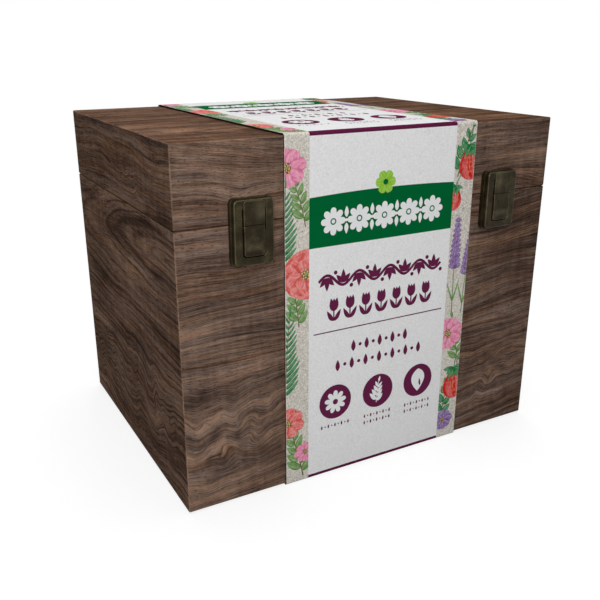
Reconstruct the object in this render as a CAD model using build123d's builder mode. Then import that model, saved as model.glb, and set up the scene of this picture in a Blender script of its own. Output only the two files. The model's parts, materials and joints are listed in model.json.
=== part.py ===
"""Garden seed organizer box.

A mitred wooden case with a deep hinged lid, two over-centre toggle latches, two stop
hinges, a card sleeve round its middle, and a fitted inside: two long dividers make two
packet bays and one narrow accessory bay, which hold twelve index cards, a notebook,
plant labels and a marker pen.

Frame: millimetres, +Z up, the front faces -Y, and the origin is on the surface that the
box stands on, under the middle of the case.
"""

import os
from math import cos, radians, sin, sqrt

from build123d import *

os.makedirs("parts", exist_ok=True)

# ------------------------------------------------------------------ case
case_width = 280.0
case_depth = 214.0
case_height = 229.5  # wood alone, lid closed
lid_height = 48.0  # from the middle of the seam to the top
board = 9.0  # walls and lid panel
floor_board = 5.0  # bottom panel
floor_rabbet = 4.0  # how far the bottom panel is let into the walls
seam_gap = 0.3  # between the body's rim and the lid's rim
edge_break = 0.6  # small chamfer along every outer edge

# ------------------------------------------------------------------ card sleeve
sleeve_to_latch = 8.4  # from either edge to the nearest latch
sleeve_card = 1.0  # fluted card
sleeve_clearance = 0.3  # slack in front, behind and on top
sleeve_slit = 0.06  # cut along the lid's seam, so that the lid can open

# ------------------------------------------------------------------ dividers and bays
accessory_bay = 32.0  # clear width; the two packet bays share the rest
divider = 5.0
divider_height = 150.0
dado = 2.5  # groove in the front and back walls
dado_clearance = 0.15

# ------------------------------------------------------------------ latch: case side
latch_from_side = 46.3  # case side to latch centre line
latch_width = 27.2
latch_up = 15.4  # above the seam
latch_down = 24.2  # below the seam
pan_floor = 1.0
pan_rim = 1.0
pan_height = 3.2
pan_corner = 3.2
latch_screw_spread = 9.6  # from the centre line
keeper_screw_up = 9.0
base_screw_down = 13.0

# ------------------------------------------------------------------ latch: moving side
hasp_inset = 1.0  # hasp's outline inside the pans' outline
hasp_skin = 1.4
hasp_face = 6.2  # hasp's front, from the wood
hasp_back_gap = 0.2  # hasp's skirt to the pans' rims
hasp_skirt = 1.0
hasp_corner = 2.6
hasp_round = 0.95  # rounding of its front edges
window_round = 0.35  # rounding round the lever's window
lever_width = 13.4
lever_slot = 0.7  # slot between the lever and the hasp
lever_face = 6.7  # lever's front at its top end, from the wood
lever_bow = 0.5  # how far its face swells
lever_bow_down = 11.0  # where it swells most, below the seam
lever_tip_in = 0.1  # how far its free end lies behind its top end
lever_down = 18.45  # lever's free end, below the seam
lever_wall = 0.8
lever_corner = 1.8
lever_round = 0.6  # rounding of its front edges
flange_reach = 1.0  # flanges' edge, behind the rivets' middle
flange_drop = 2.0  # where that edge starts to slope, below the rivets
tongue_face = 6.8
tongue_skin = 0.9
tongue_split = 0.4  # line between tongue and lever
tongue_slot_up = 9.9  # where the slots beside the tongue end
tongue_up = 14.2
tongue_round = 0.5  # rounding of its front edges
pivot_out, pivot_drop = 5.0, 1.2  # lever's pivot: from the wood, below the seam
link_out, link_drop = 4.6, 7.2  # hasp's rivets: from the wood, below the seam
pivot_radius = 0.5
link_radius = 0.55
running_fit = 0.06
tight_fit = 0.02
ear_thickness = 0.8
ear_radius = 0.8
ear_side_gap = 0.2
ear_foot_top, ear_foot_bottom = 4.5, 8.5  # ear's foot on the pan, below the seam
lug_width, lug_height = 2.2, 2.6  # lugs that hold the hasp's rivets
lug_reach = 0.9  # lug's back, behind the rivets' middle
hook_width = 10.4
hook_web_up = 3.4
hook_skin = 0.8
hook_front = 4.6
hook_up = 7.6
hook_way = 0.8  # room beside the hook in the hasp's skirt
catch_gap = 0.3  # hasp's catch rib to the hook's lip
catch_height = 1.0
catch_width = 9.0
rivet_head = 0.4  # thickness of a rivet's head
rivet_head_over = 0.25  # how far a head stands out round its shank
rivet_bite = 1.7  # depth of a shank in its lug
rivet_hole_spare = 0.1  # a lug's hole is this much deeper

# ------------------------------------------------------------------ hinges
hinge_width = 30.0
hinge_leaf = 15.0  # from the hinge's axis to the leaf's edge
hinge_sheet = 1.0
hinge_barrel = 2.2  # radius
hinge_pin = 1.1  # radius
hinge_side_gap = 0.15  # between two knuckles
knuckles = 5
lid_stop = 100.0  # degrees that the lid opens
nib_reach = 4.6  # stop nib's tip, from the hinge's axis
nib_thickness = 1.2
nib_lead = 5.0  # degrees that the nib stands short of the leaf at the stop
hinge_screw_spread = 10.0
hinge_screw_out = 9.0  # from the hinge's axis

# ------------------------------------------------------------------ screws
screw_radius = 0.9
screw_head = 1.9
screw_head_height = 1.1
screw_head_round = 0.77
screw_length = 5.5
screw_recess = 0.5  # width of the cross recess
pilot_clearance = 0.05

# ------------------------------------------------------------------ index cards
cards_per_bay = 6
card_sheet = 0.8
card_side_gap = 1.5
card_height = 158.0
card_corner = 4.0
tab_width = 27.0
tab_height = 13.0
card_lean = 4.0  # degrees
card_pitch = 5.0
card_wall_gap = 0.3

# ------------------------------------------------------------------ notebook
notebook_side_gap = 2.0  # to the bay's sides, coil included
notebook_height = 140.0
notebook_block = 8.0
notebook_cover = 1.2
notebook_margin = 2.0  # pages inside the covers' edges
notebook_wall_gap = 0.3
coil_rings = 16
coil_wire = 0.6  # radius
coil_stand_off = 1.6  # rings outside the covers
coil_hole_in = 4.5  # ring holes from the bound edge
coil_hole_slack = 0.15
coil_end_margin = 7.0  # last ring to the cover's end

# ------------------------------------------------------------------ accessory bay
label_count = 8
label_sheet = 1.4
label_stem = 9.0
label_head = 26.0
label_head_height = 34.0
label_length = 138.0
label_point = 10.0
label_pitch = 2.0
pen_radius = 5.6
pen_length = 136.0
pen_cap = 46.0
pen_nose = 16.0
pen_neck = 4.3  # radius inside the cap
pen_tip = 1.2
pen_clip_width = 3.4
pen_clip_thickness = 1.0
pen_clip_length = 34.0
cap_wall = 1.0
accessory_wall_gap = 0.3

# ------------------------------------------------------------------ levels and places
case_bottom = sleeve_card  # the case stands on the sleeve's bottom panel
case_top = case_bottom + case_height
seam_z = case_top - lid_height
body_top = seam_z - seam_gap / 2
lid_bottom = seam_z + seam_gap / 2
floor_z = case_bottom + floor_board
half_width, half_depth = case_width / 2, case_depth / 2
inside_x, inside_y = half_width - board, half_depth - board

packet_bay = inside_x - divider - accessory_bay / 2  # clear width of each
divider_x = (
    -inside_x + packet_bay + divider / 2,
    -inside_x + 2 * packet_bay + 1.5 * divider,
)
bay_x = (-inside_x + packet_bay / 2, -inside_x + 1.5 * packet_bay + divider)
accessory_x = inside_x - accessory_bay / 2

latch_x = half_width - latch_from_side
hinge_x = latch_x  # the hinges stand opposite the latches
hinge_y = half_depth + hinge_barrel
sides = (("left", -1), ("right", 1))

pan_inside = latch_width / 2 - pan_rim
hasp_half = latch_width / 2 - hasp_inset
hasp_back = hasp_face - hasp_skin
skirt_back = pan_height + hasp_back_gap
lever_half = lever_width / 2
window_half = lever_half + lever_slot
window_down = lever_down + lever_slot
lever_up = tongue_split / 2 + seam_gap / 6  # lever's top edge, below the seam
tongue_down = tongue_split - lever_up  # tongue's lower edge, above the seam
flange_inner = lever_half - lever_wall
ear_outer = flange_inner - ear_side_gap
knuckle = hinge_width / knuckles


def save(builder: BuildPart, name: str) -> None:
    """Labels a finished piece and writes it to parts/."""
    builder.part.label = name
    export_step(builder.part, f"parts/{name}.step")


def front_plane(x: float) -> Plane:
    """On the case's front, at the seam: local x right, y up, z out of the box."""
    return Plane(origin=(x, -half_depth, seam_z), x_dir=(1, 0, 0), z_dir=(0, -1, 0))


def front_side_plane(x: float) -> Plane:
    """Across a latch: local x out of the box, y up from the seam."""
    return Plane(origin=(x, -half_depth, seam_z), x_dir=(0, -1, 0), z_dir=(-1, 0, 0))


def back_plane(x: float) -> Plane:
    """On the case's back, at the hinge's axis: local x left, y up, z out of the box."""
    return Plane(origin=(x, half_depth, seam_z), x_dir=(-1, 0, 0), z_dir=(0, 1, 0))


def hinge_side_plane(x: float) -> Plane:
    """Across a hinge, centred on its axis: local x out of the box, y up."""
    return Plane(origin=(x, hinge_y, seam_z), x_dir=(0, 1, 0), z_dir=(1, 0, 0))


# ------------------------------------------------------------------ screw places
keeper_screws = [(s * latch_screw_spread, keeper_screw_up) for s in (-1, 1)]
base_screws = [(s * latch_screw_spread, -base_screw_down) for s in (-1, 1)]
lid_leaf_screws = [(s * hinge_screw_spread, hinge_screw_out) for s in (-1, 0, 1)]
body_leaf_screws = [(x, -up) for x, up in lid_leaf_screws]


def pilot_holes(plane_at, x: float, places: list) -> None:
    """Cuts blind screw holes into the open piece, in both fittings of a face."""
    for _, side in sides:
        with BuildSketch(plane_at(side * x)) as pilots:
            with Locations(*places):
                Circle(screw_radius + pilot_clearance)
        depth = screw_length + pilot_clearance
        extrude(pilots.sketch, amount=-depth, mode=Mode.SUBTRACT)


def screw_set(plane_at, x: float, seat: float, places: list) -> BuildPart:
    """Round-head screws with a cross recess, seated at a height above both fittings of a face."""
    reach = screw_length + seat
    with BuildPart() as screws:
        for _, side in sides:
            with BuildSketch(plane_at(side * x).offset(seat)):
                with Locations(*places):
                    Circle(screw_head)
            extrude(amount=screw_head_height)
        heads = screws.faces().filter_by(Axis.Y).group_by(Axis.Y)
        outer = heads[0] if plane_at is front_plane else heads[-1]
        fillet(outer.edges(), radius=screw_head_round)
        for _, side in sides:
            with BuildSketch(plane_at(side * x).offset(seat)):
                with Locations(*places):
                    Circle(screw_radius)
            extrude(amount=-reach)
            with BuildSketch(plane_at(side * x).offset(seat + screw_head_height)):
                with Locations(*places):
                    Rectangle(screw_recess, screw_head * 1.1, rotation=30)
                    Rectangle(screw_head * 1.1, screw_recess, rotation=30)
            extrude(amount=-screw_head_height / 2, mode=Mode.SUBTRACT)
    return screws


# ------------------------------------------------------------------ the case
def wall_plan(side: str) -> list:
    """Corners of a mitred wall seen from above."""
    across = 1 if side in ("back", "right") else -1
    if side in ("front", "back"):
        outer = [(-half_width, across * half_depth), (half_width, across * half_depth)]
        return outer + [(inside_x, across * inside_y), (-inside_x, across * inside_y)]
    outer = [(across * half_width, -half_depth), (across * half_width, half_depth)]
    return outer + [(across * inside_x, inside_y), (across * inside_x, -inside_y)]


with BuildPart() as body_block:  # outside form of the body, its edges broken
    with BuildSketch(Plane.XY.offset(case_bottom)):
        Rectangle(case_width, case_depth)
    extrude(amount=body_top - case_bottom)
    chamfer(body_block.edges(), length=edge_break)

with BuildPart() as lid_block:  # outside form of the lid, its edges broken
    with BuildSketch(Plane.XY.offset(lid_bottom)):
        Rectangle(case_width, case_depth)
    extrude(amount=case_top - lid_bottom)
    chamfer(lid_block.edges(), length=edge_break)

with BuildPart() as floor_panel:
    with BuildSketch(Plane.XY.offset(case_bottom)):
        Rectangle(2 * (inside_x + floor_rabbet), 2 * (inside_y + floor_rabbet))
    extrude(amount=floor_board)
save(floor_panel, "floor_panel")

for wall in ("front", "back", "left", "right"):
    with BuildPart() as body_wall:
        with BuildSketch(Plane.XY.offset(case_bottom)):
            with BuildLine():
                Polyline(*wall_plan(wall), close=True)
            make_face()
        extrude(amount=body_top - case_bottom)
        add(body_block.part, mode=Mode.INTERSECT)
        add(floor_panel.part, mode=Mode.SUBTRACT)
        if wall in ("front", "back"):
            with BuildSketch(Plane.XY.offset(floor_z)):
                with Locations(*[(x, 0) for x in divider_x]):
                    Rectangle(divider + 2 * dado_clearance, 2 * (inside_y + dado))
            extrude(amount=body_top - floor_z, mode=Mode.SUBTRACT)
        if wall == "front":
            pilot_holes(front_plane, latch_x, base_screws)
        if wall == "back":
            pilot_holes(back_plane, hinge_x, body_leaf_screws)
    save(body_wall, f"body_{wall}")

with BuildPart() as lid_panel_blank:  # its four edges are mitred to the lid's walls
    with BuildSketch(Plane.XY.offset(case_top - board)):
        Rectangle(2 * inside_x, 2 * inside_y)
    extrude(amount=board, taper=-45)

with BuildPart() as lid_panel:
    add(lid_panel_blank.part)
    add(lid_block.part, mode=Mode.INTERSECT)
save(lid_panel, "lid_panel")

for wall in ("front", "back", "left", "right"):
    with BuildPart() as lid_wall:
        with BuildSketch(Plane.XY.offset(lid_bottom)):
            with BuildLine():
                Polyline(*wall_plan(wall), close=True)
            make_face()
        extrude(amount=case_top - lid_bottom)
        add(lid_block.part, mode=Mode.INTERSECT)
        add(lid_panel_blank.part, mode=Mode.SUBTRACT)
        if wall == "front":
            pilot_holes(front_plane, latch_x, keeper_screws)
        if wall == "back":
            pilot_holes(back_plane, hinge_x, lid_leaf_screws)
    save(lid_wall, f"lid_{wall}")

# ------------------------------------------------------------------ dividers
for n, x in enumerate(divider_x, start=1):
    with BuildPart() as long_divider:
        with BuildSketch(Plane.XY.offset(floor_z)):
            with Locations((x, 0)):
                Rectangle(divider, 2 * (inside_y + dado - dado_clearance))
        extrude(amount=divider_height)
        top = long_divider.faces().sort_by(Axis.Z)[-1]
        chamfer(top.edges().filter_by(Axis.Y), length=edge_break)
    save(long_divider, f"divider_{n}")

# ------------------------------------------------------------------ card sleeve
sleeve_width = 2 * (latch_x - latch_width / 2 - sleeve_to_latch)
sleeve_top = case_top + sleeve_clearance + sleeve_card
sleeve_depth = case_depth + 2 * (sleeve_clearance + sleeve_card)
sleeve_fold = edge_break + sleeve_clearance / 2  # inside radius of the creases

with BuildPart() as sleeve_loop:  # the whole band, before its slit
    with BuildSketch(Plane.YZ.offset(-sleeve_width / 2)):
        with Locations((0, sleeve_top / 2)):
            RectangleRounded(sleeve_depth, sleeve_top, sleeve_fold + sleeve_card)
            RectangleRounded(
                sleeve_depth - 2 * sleeve_card,
                sleeve_top - 2 * sleeve_card,
                sleeve_fold,
                mode=Mode.SUBTRACT,
            )
    extrude(amount=sleeve_width)

with BuildPart() as sleeve_body:
    add(sleeve_loop.part)
    split(bisect_by=Plane.XY.offset(seam_z - sleeve_slit / 2), keep=Keep.BOTTOM)
save(sleeve_body, "sleeve_body")

with BuildPart() as sleeve_lid:
    add(sleeve_loop.part)
    split(bisect_by=Plane.XY.offset(seam_z + sleeve_slit / 2), keep=Keep.TOP)
save(sleeve_lid, "sleeve_lid")


# ------------------------------------------------------------------ latches
def latch_pan(x: float, low: float, high: float, corners: str) -> None:
    """A shallow pan with a rim on three sides, open at the seam, added to the open piece."""
    plane = front_plane(x)
    middle, height = (low + high) / 2, high - low
    with BuildSketch(plane) as outline:
        with Locations((0, middle)):
            Rectangle(latch_width, height)
        ends = vertices().group_by(Axis.Y)
        fillet(ends[-1] if corners == "top" else ends[0], radius=pan_corner)
    extrude(outline.sketch, amount=pan_height)
    with BuildSketch(plane.offset(pan_floor)) as hollow:
        shift = -pan_rim if corners == "top" else pan_rim
        with Locations((0, middle + shift)):
            Rectangle(2 * pan_inside, height)
        ends = vertices().group_by(Axis.Y)
        fillet(ends[-1] if corners == "top" else ends[0], radius=pan_corner - pan_rim)
    extrude(hollow.sketch, amount=pan_height, mode=Mode.SUBTRACT)


def screw_holes(plane: Plane, places: list, depth: float) -> None:
    """Cuts clearance holes for screws through a fitting of the open piece."""
    with BuildSketch(plane) as holes:
        with Locations(*places):
            Circle(screw_radius + pilot_clearance)
    extrude(holes.sketch, amount=depth, mode=Mode.SUBTRACT)


def cross_rod(x: float, out: float, drop: float, radius: float, mode: Mode = Mode.ADD):
    """A round rod or hole along X at a place in a latch's side view, from x[0] to x[1]."""
    start, end = sorted(x)
    with BuildSketch(front_side_plane(start)) as section:
        with Locations((out, -drop)):
            Circle(radius)
    extrude(section.sketch, amount=start - end, mode=mode)


def build_keeper(x: float) -> BuildPart:
    """Lid half of a latch: a pan with an upward hook."""
    with BuildPart() as keeper:
        latch_pan(x, seam_gap / 2, latch_up, "top")
        with BuildSketch(front_side_plane(x)):
            with BuildLine():
                Polyline(
                    (pan_floor / 2, hook_web_up),
                    (hook_front, hook_web_up),
                    (hook_front, hook_up),
                    (hook_front - hook_skin, hook_up),
                    (hook_front - hook_skin, hook_web_up + hook_skin),
                    (pan_floor / 2, hook_web_up + hook_skin),
                    close=True,
                )
            make_face()
        extrude(amount=hook_width / 2, both=True)
        screw_holes(front_plane(x), keeper_screws, pan_floor)
    return keeper


def build_base(x: float) -> BuildPart:
    """Body half of a latch: a pan with two ears that carry the lever."""
    with BuildPart() as base:
        latch_pan(x, -latch_down, -seam_gap / 2, "bottom")
        for side in (-1, 1):
            middle = x + side * (ear_outer - ear_thickness / 2)
            with BuildSketch(front_side_plane(middle)):
                with BuildLine():
                    CenterArc((pivot_out, -pivot_drop), ear_radius, 0, 360)
                    Line((pan_floor / 2, -ear_foot_top), (pan_floor / 2, -ear_foot_bottom))
                make_hull()
            extrude(amount=ear_thickness / 2, both=True)
        for side in (-1, 1):
            across = (x + side * ear_outer, x + side * (ear_outer - ear_thickness))
            hole = pivot_radius + tight_fit
            cross_rod(across, pivot_out, pivot_drop, hole, Mode.SUBTRACT)
        screw_holes(front_plane(x), base_screws, pan_floor)
    return base


def build_lever(x: float) -> BuildPart:
    """Flip lever: a bowed channel with two flanges, open at its back and top."""
    inner_face = lever_face - lever_wall
    flange_back = link_out - flange_reach
    tip_face = lever_face - lever_tip_in
    with BuildPart() as lever:
        with BuildSketch(front_side_plane(x)):
            with BuildLine():
                ThreePointArc(
                    (lever_face, -lever_up),
                    (lever_face + lever_bow, -lever_bow_down),
                    (tip_face, -lever_down),
                )
                Polyline(
                    (tip_face, -lever_down),
                    (pivot_out, -lever_down),
                    (flange_back, -link_drop - flange_drop),
                    (flange_back, -lever_up),
                    (lever_face, -lever_up),
                )
            make_face()
        extrude(amount=lever_half, both=True)
        end = lever.faces().sort_by(Axis.Z)[0]
        fillet(end.edges().filter_by(Axis.Y), radius=lever_corner)
        front = lever.faces().sort_by(Axis.Y)[0]
        edges = front.edges()
        fillet(edges - edges.group_by(Axis.Z)[-1], radius=lever_round)
        pocket_low, pocket_high = -lever_down + lever_wall, lever_up
        with BuildSketch(front_plane(x)):
            with Locations((0, (pocket_low + pocket_high) / 2)):
                Rectangle(2 * flange_inner, pocket_high - pocket_low)
            fillet(vertices().group_by(Axis.Y)[0], radius=lever_corner - lever_wall)
        extrude(amount=inner_face, mode=Mode.SUBTRACT)
        for side in (-1, 1):
            across = (x + side * flange_inner, x + side * lever_half)
            hole = pivot_radius + running_fit
            cross_rod(across, pivot_out, pivot_drop, hole, Mode.SUBTRACT)
            hole = link_radius + running_fit
            cross_rod(across, link_out, link_drop, hole, Mode.SUBTRACT)
    return lever


def build_hasp(x: float) -> BuildPart:
    """Frame that is drawn over the keeper: a skirted ring with a raised tongue."""
    hasp_up, hasp_down = latch_up - hasp_inset / 2, latch_down - hasp_inset / 2
    middle, height = (hasp_up - hasp_down) / 2, hasp_up + hasp_down
    plane = front_plane(x)
    lug_back = link_out - lug_reach
    with BuildPart() as hasp:
        with BuildSketch(plane.offset(skirt_back)):
            with Locations((0, middle)):
                RectangleRounded(2 * hasp_half, height, hasp_corner)
        extrude(amount=hasp_face - skirt_back)
        front = hasp.faces().sort_by(Axis.Y)[0]
        fillet(front.edges(), radius=hasp_round)
        with BuildSketch(plane):
            with Locations((0, middle)):
                RectangleRounded(
                    2 * (hasp_half - hasp_skirt), height - 2 * hasp_skirt, hasp_corner - hasp_skirt
                )
        extrude(amount=hasp_back, mode=Mode.SUBTRACT)
        with BuildSketch(plane):  # way out for the keeper's hook, through the top skirt
            with Locations((0, hasp_up)):
                Rectangle(hook_width + 2 * hook_way, 2 * hasp_skirt + hasp_corner)
        extrude(amount=hasp_back, mode=Mode.SUBTRACT)
        with BuildSketch(plane):  # window round the lever and beside the tongue
            with Locations((0, (tongue_slot_up - window_down) / 2)):
                Rectangle(2 * window_half, tongue_slot_up + window_down)
            fillet(vertices().group_by(Axis.Y)[0], radius=lever_corner + lever_slot)
        extrude(amount=hasp_face, mode=Mode.SUBTRACT)
        front = hasp.faces().sort_by(Axis.Y)[0]
        fillet(front.inner_wires()[0].edges(), radius=window_round)
        with BuildSketch(plane.offset(tongue_face - tongue_skin)):
            with Locations((0, (tongue_up + tongue_down) / 2)):
                Rectangle(lever_width, tongue_up - tongue_down)
            fillet(vertices().group_by(Axis.Y)[-1], radius=lever_corner)
        extrude(amount=tongue_skin)
        front = hasp.faces().sort_by(Axis.Y)[0]
        edges = front.edges()
        fillet(edges - edges.group_by(Axis.Z)[0], radius=tongue_round)
        with BuildSketch(plane.offset(hook_front + catch_gap)):  # catch rib behind the tongue
            with Locations((0, hook_up + catch_height)):
                Rectangle(catch_width, catch_height)
        extrude(amount=tongue_face - tongue_skin - hook_front - catch_gap)
        for side in (-1, 1):
            with BuildSketch(plane.offset(lug_back)):
                with Locations((side * (window_half + lug_width / 2), -link_drop)):
                    Rectangle(lug_width, lug_height)
            extrude(amount=hasp_face - lug_back - hasp_skin / 2)
            hole_end = window_half + rivet_bite + rivet_hole_spare
            across = (x + side * window_half, x + side * hole_end)
            cross_rod(across, link_out, link_drop, link_radius + tight_fit, Mode.SUBTRACT)
    return hasp


def build_rivets(x: float, out: float, drop: float, radius: float, span: tuple) -> BuildPart:
    """Two headed rivets, one each side of a latch; span is head, shank start and shank end."""
    head, start, end = span
    with BuildPart() as rivets:
        for side in (-1, 1):
            cross_rod((x + side * start, x + side * end), out, drop, radius)
            cross_rod((x + side * head, x + side * start), out, drop, radius + rivet_head_over)
    return rivets


for name, side in sides:
    x = side * latch_x
    save(build_keeper(x), f"latch_{name}_keeper")
    save(build_base(x), f"latch_{name}_base")
    save(build_lever(x), f"latch_{name}_lever")
    save(build_hasp(x), f"latch_{name}_hasp")
    ear_inner = ear_outer - ear_thickness
    pivot_span = (ear_inner - rivet_head, ear_inner, lever_half)
    pivots = build_rivets(x, pivot_out, pivot_drop, pivot_radius, pivot_span)
    save(pivots, f"latch_{name}_pivots")
    link_span = (flange_inner - rivet_head, flange_inner, window_half + rivet_bite)
    links = build_rivets(x, link_out, link_drop, link_radius, link_span)
    save(links, f"latch_{name}_rivets")

save(screw_set(front_plane, latch_x, pan_floor, keeper_screws), "lid_latch_screws")
save(screw_set(front_plane, latch_x, pan_floor, base_screws), "body_latch_screws")


# ------------------------------------------------------------------ hinges
def build_leaf(x: float, up: int) -> BuildPart:
    """One leaf of a stop hinge. up is 1 for the lid's leaf and -1 for the body's."""
    own = range(1, knuckles, 2) if up > 0 else range(0, knuckles, 2)
    places = lid_leaf_screws if up > 0 else body_leaf_screws
    left = x - hinge_width / 2
    with BuildPart() as leaf:
        with BuildSketch(back_plane(x)):
            with Locations((0, up * (hinge_barrel + hinge_leaf) / 2)):
                Rectangle(hinge_width, hinge_leaf - hinge_barrel)
            outer = vertices().group_by(Axis.Y)[-1 if up > 0 else 0]
            fillet(outer, radius=hinge_barrel)
        extrude(amount=hinge_sheet)
        for n in own:
            low = left + n * knuckle + (hinge_side_gap if n else 0)
            high = left + (n + 1) * knuckle - (hinge_side_gap if n < knuckles - 1 else 0)
            with BuildSketch(hinge_side_plane(low)):
                Circle(hinge_barrel)
                with Locations((-hinge_barrel + hinge_sheet / 2, up * hinge_barrel / 2)):
                    Rectangle(hinge_sheet, hinge_barrel)
                if up > 0:
                    out = radians(lid_stop - nib_lead)
                    with Locations((sin(out) * nib_reach / 2, -cos(out) * nib_reach / 2)):
                        Rectangle(nib_reach, nib_thickness, rotation=lid_stop - nib_lead - 90)
                fit = running_fit if up > 0 else tight_fit
                Circle(hinge_pin + fit, mode=Mode.SUBTRACT)
            extrude(amount=high - low)
        screw_holes(back_plane(x), places, hinge_sheet)
    return leaf


for name, side in sides:
    x = side * hinge_x
    save(build_leaf(x, 1), f"hinge_{name}_lid_leaf")
    save(build_leaf(x, -1), f"hinge_{name}_body_leaf")
    with BuildPart() as pin:
        with BuildSketch(hinge_side_plane(x)):
            Circle(hinge_pin)
        extrude(amount=hinge_width / 2, both=True)
    save(pin, f"hinge_{name}_pin")

save(screw_set(back_plane, hinge_x, hinge_sheet, lid_leaf_screws), "lid_hinge_screws")
save(screw_set(back_plane, hinge_x, hinge_sheet, body_leaf_screws), "body_hinge_screws")

# ------------------------------------------------------------------ index cards
card_width = packet_bay - 2 * card_side_gap
tab_step = (card_width - tab_width) / (cards_per_bay - 1)
lean = radians(card_lean)
card_rise = card_sheet / 2 * sin(lean)  # lifts the low edge onto the floor
rear_card_y = inside_y - card_wall_gap - (card_height + tab_height) * sin(lean) - card_sheet

for bay, x in enumerate(bay_x):
    for n in range(cards_per_bay):
        foot = (x, rear_card_y - (cards_per_bay - 1 - n) * card_pitch, floor_z + card_rise)
        card_plane = Plane(origin=foot, x_dir=(1, 0, 0), z_dir=(0, -cos(lean), sin(lean)))
        with BuildPart() as card:
            with BuildSketch(card_plane):
                with Locations((0, card_height / 2)):
                    Rectangle(card_width, card_height)
                tab_x = -card_width / 2 + tab_width / 2 + n * tab_step
                with Locations((tab_x, card_height)):
                    Rectangle(tab_width, 2 * tab_height)
                fillet(vertices().group_by(Axis.Y)[-1], radius=card_corner)
            extrude(amount=card_sheet / 2, both=True)
        save(card, f"index_card_{bay * cards_per_bay + n + 1:02d}")

# ------------------------------------------------------------------ notebook
notebook_thickness = notebook_block + 2 * notebook_cover
coil_radius = notebook_thickness / 2 + coil_stand_off
coil_near = sqrt((coil_radius - coil_wire) ** 2 - (notebook_thickness / 2) ** 2)
coil_far = coil_radius + coil_wire
coil_reach = (coil_near + coil_far) / 2  # ring's centre to the middle of its holes
ring_hole = (coil_far - coil_near) / 2 + coil_hole_slack  # radius
coil_overhang = coil_reach - coil_hole_in + coil_far  # past the covers' bound edge
notebook_width = packet_bay - 2 * notebook_side_gap - coil_overhang
notebook_y = -inside_y + notebook_wall_gap + coil_far
notebook_x = bay_x[1] + coil_overhang / 2
notebook_plane = Plane(origin=(notebook_x, notebook_y, floor_z), x_dir=(1, 0, 0), z_dir=(0, -1, 0))
hole_x = -notebook_width / 2 + coil_hole_in
coil_step = (notebook_height - 2 * coil_end_margin) / (coil_rings - 1)
ring_places = [(hole_x, coil_end_margin + n * coil_step) for n in range(coil_rings)]


def ring_holes() -> None:
    """Cuts the holes that the notebook's rings pass through."""
    with BuildSketch(notebook_plane) as holes:
        with Locations(*ring_places):
            Circle(ring_hole)
    extrude(holes.sketch, amount=notebook_thickness, both=True, mode=Mode.SUBTRACT)


with BuildPart() as notebook_pages:
    with BuildSketch(notebook_plane):
        with Locations((0, notebook_height / 2)):
            Rectangle(notebook_width - notebook_margin, notebook_height - 2 * notebook_margin)
    extrude(amount=notebook_block / 2, both=True)
    ring_holes()
save(notebook_pages, "notebook_pages")

with BuildPart() as notebook_covers:
    for face in (-notebook_thickness / 2, notebook_block / 2):
        with BuildSketch(notebook_plane.offset(face)):
            with Locations((0, notebook_height / 2)):
                RectangleRounded(notebook_width, notebook_height, card_corner)
        extrude(amount=notebook_cover)
    ring_holes()
save(notebook_covers, "notebook_covers")

with BuildPart() as notebook_coil:  # separate wire rings, one for each hole
    for across, up in ring_places:
        centre = (notebook_x + across - coil_reach, notebook_y, floor_z + up)
        with BuildSketch(Plane(origin=centre, z_dir=(0, 0, 1))):
            Circle(coil_far)
            Circle(coil_radius - coil_wire, mode=Mode.SUBTRACT)
        extrude(amount=coil_wire, both=True)
save(notebook_coil, "notebook_coil")

# ------------------------------------------------------------------ plant labels
with BuildPart() as plant_labels:
    for n in range(label_count):
        back = inside_y - accessory_wall_gap - n * label_pitch
        label_plane = Plane(origin=(accessory_x, back, floor_z), x_dir=(1, 0, 0), z_dir=(0, -1, 0))
        with BuildSketch(label_plane):
            with BuildLine():
                Polyline(
                    (0, 0),
                    (label_stem / 2, label_point),
                    (label_stem / 2, label_length - label_head_height / 2),
                    (-label_stem / 2, label_length - label_head_height / 2),
                    (-label_stem / 2, label_point),
                    close=True,
                )
            make_face()
            with Locations((0, label_length - label_head_height / 2)):
                RectangleRounded(label_head, label_head_height, card_corner)
        extrude(amount=label_sheet)
save(plant_labels, "plant_labels")

# ------------------------------------------------------------------ marker pen
pen_y = -inside_y + accessory_wall_gap + pen_radius
cap_foot = floor_z + pen_length - pen_cap
pen_plane = Plane(origin=(accessory_x, pen_y, floor_z), x_dir=(1, 0, 0), z_dir=(0, -1, 0))

with BuildPart() as pen_barrel:
    with BuildSketch(pen_plane):
        with BuildLine():
            Polyline(
                (0, 0),
                (pen_radius - edge_break, 0),
                (pen_radius, edge_break),
                (pen_radius, pen_length - pen_cap),
                (pen_neck, pen_length - pen_cap),
                (pen_neck, pen_length - pen_cap + pen_nose),
                (pen_tip, pen_length - pen_cap + pen_nose + pen_neck),
                (pen_tip, pen_length - pen_cap + pen_nose + 2 * pen_neck),
                (0, pen_length - pen_cap + pen_nose + 2 * pen_neck),
                close=True,
            )
        make_face()
    revolve(axis=Axis((accessory_x, pen_y, 0), (0, 0, 1)))
save(pen_barrel, "pen_barrel")

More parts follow.
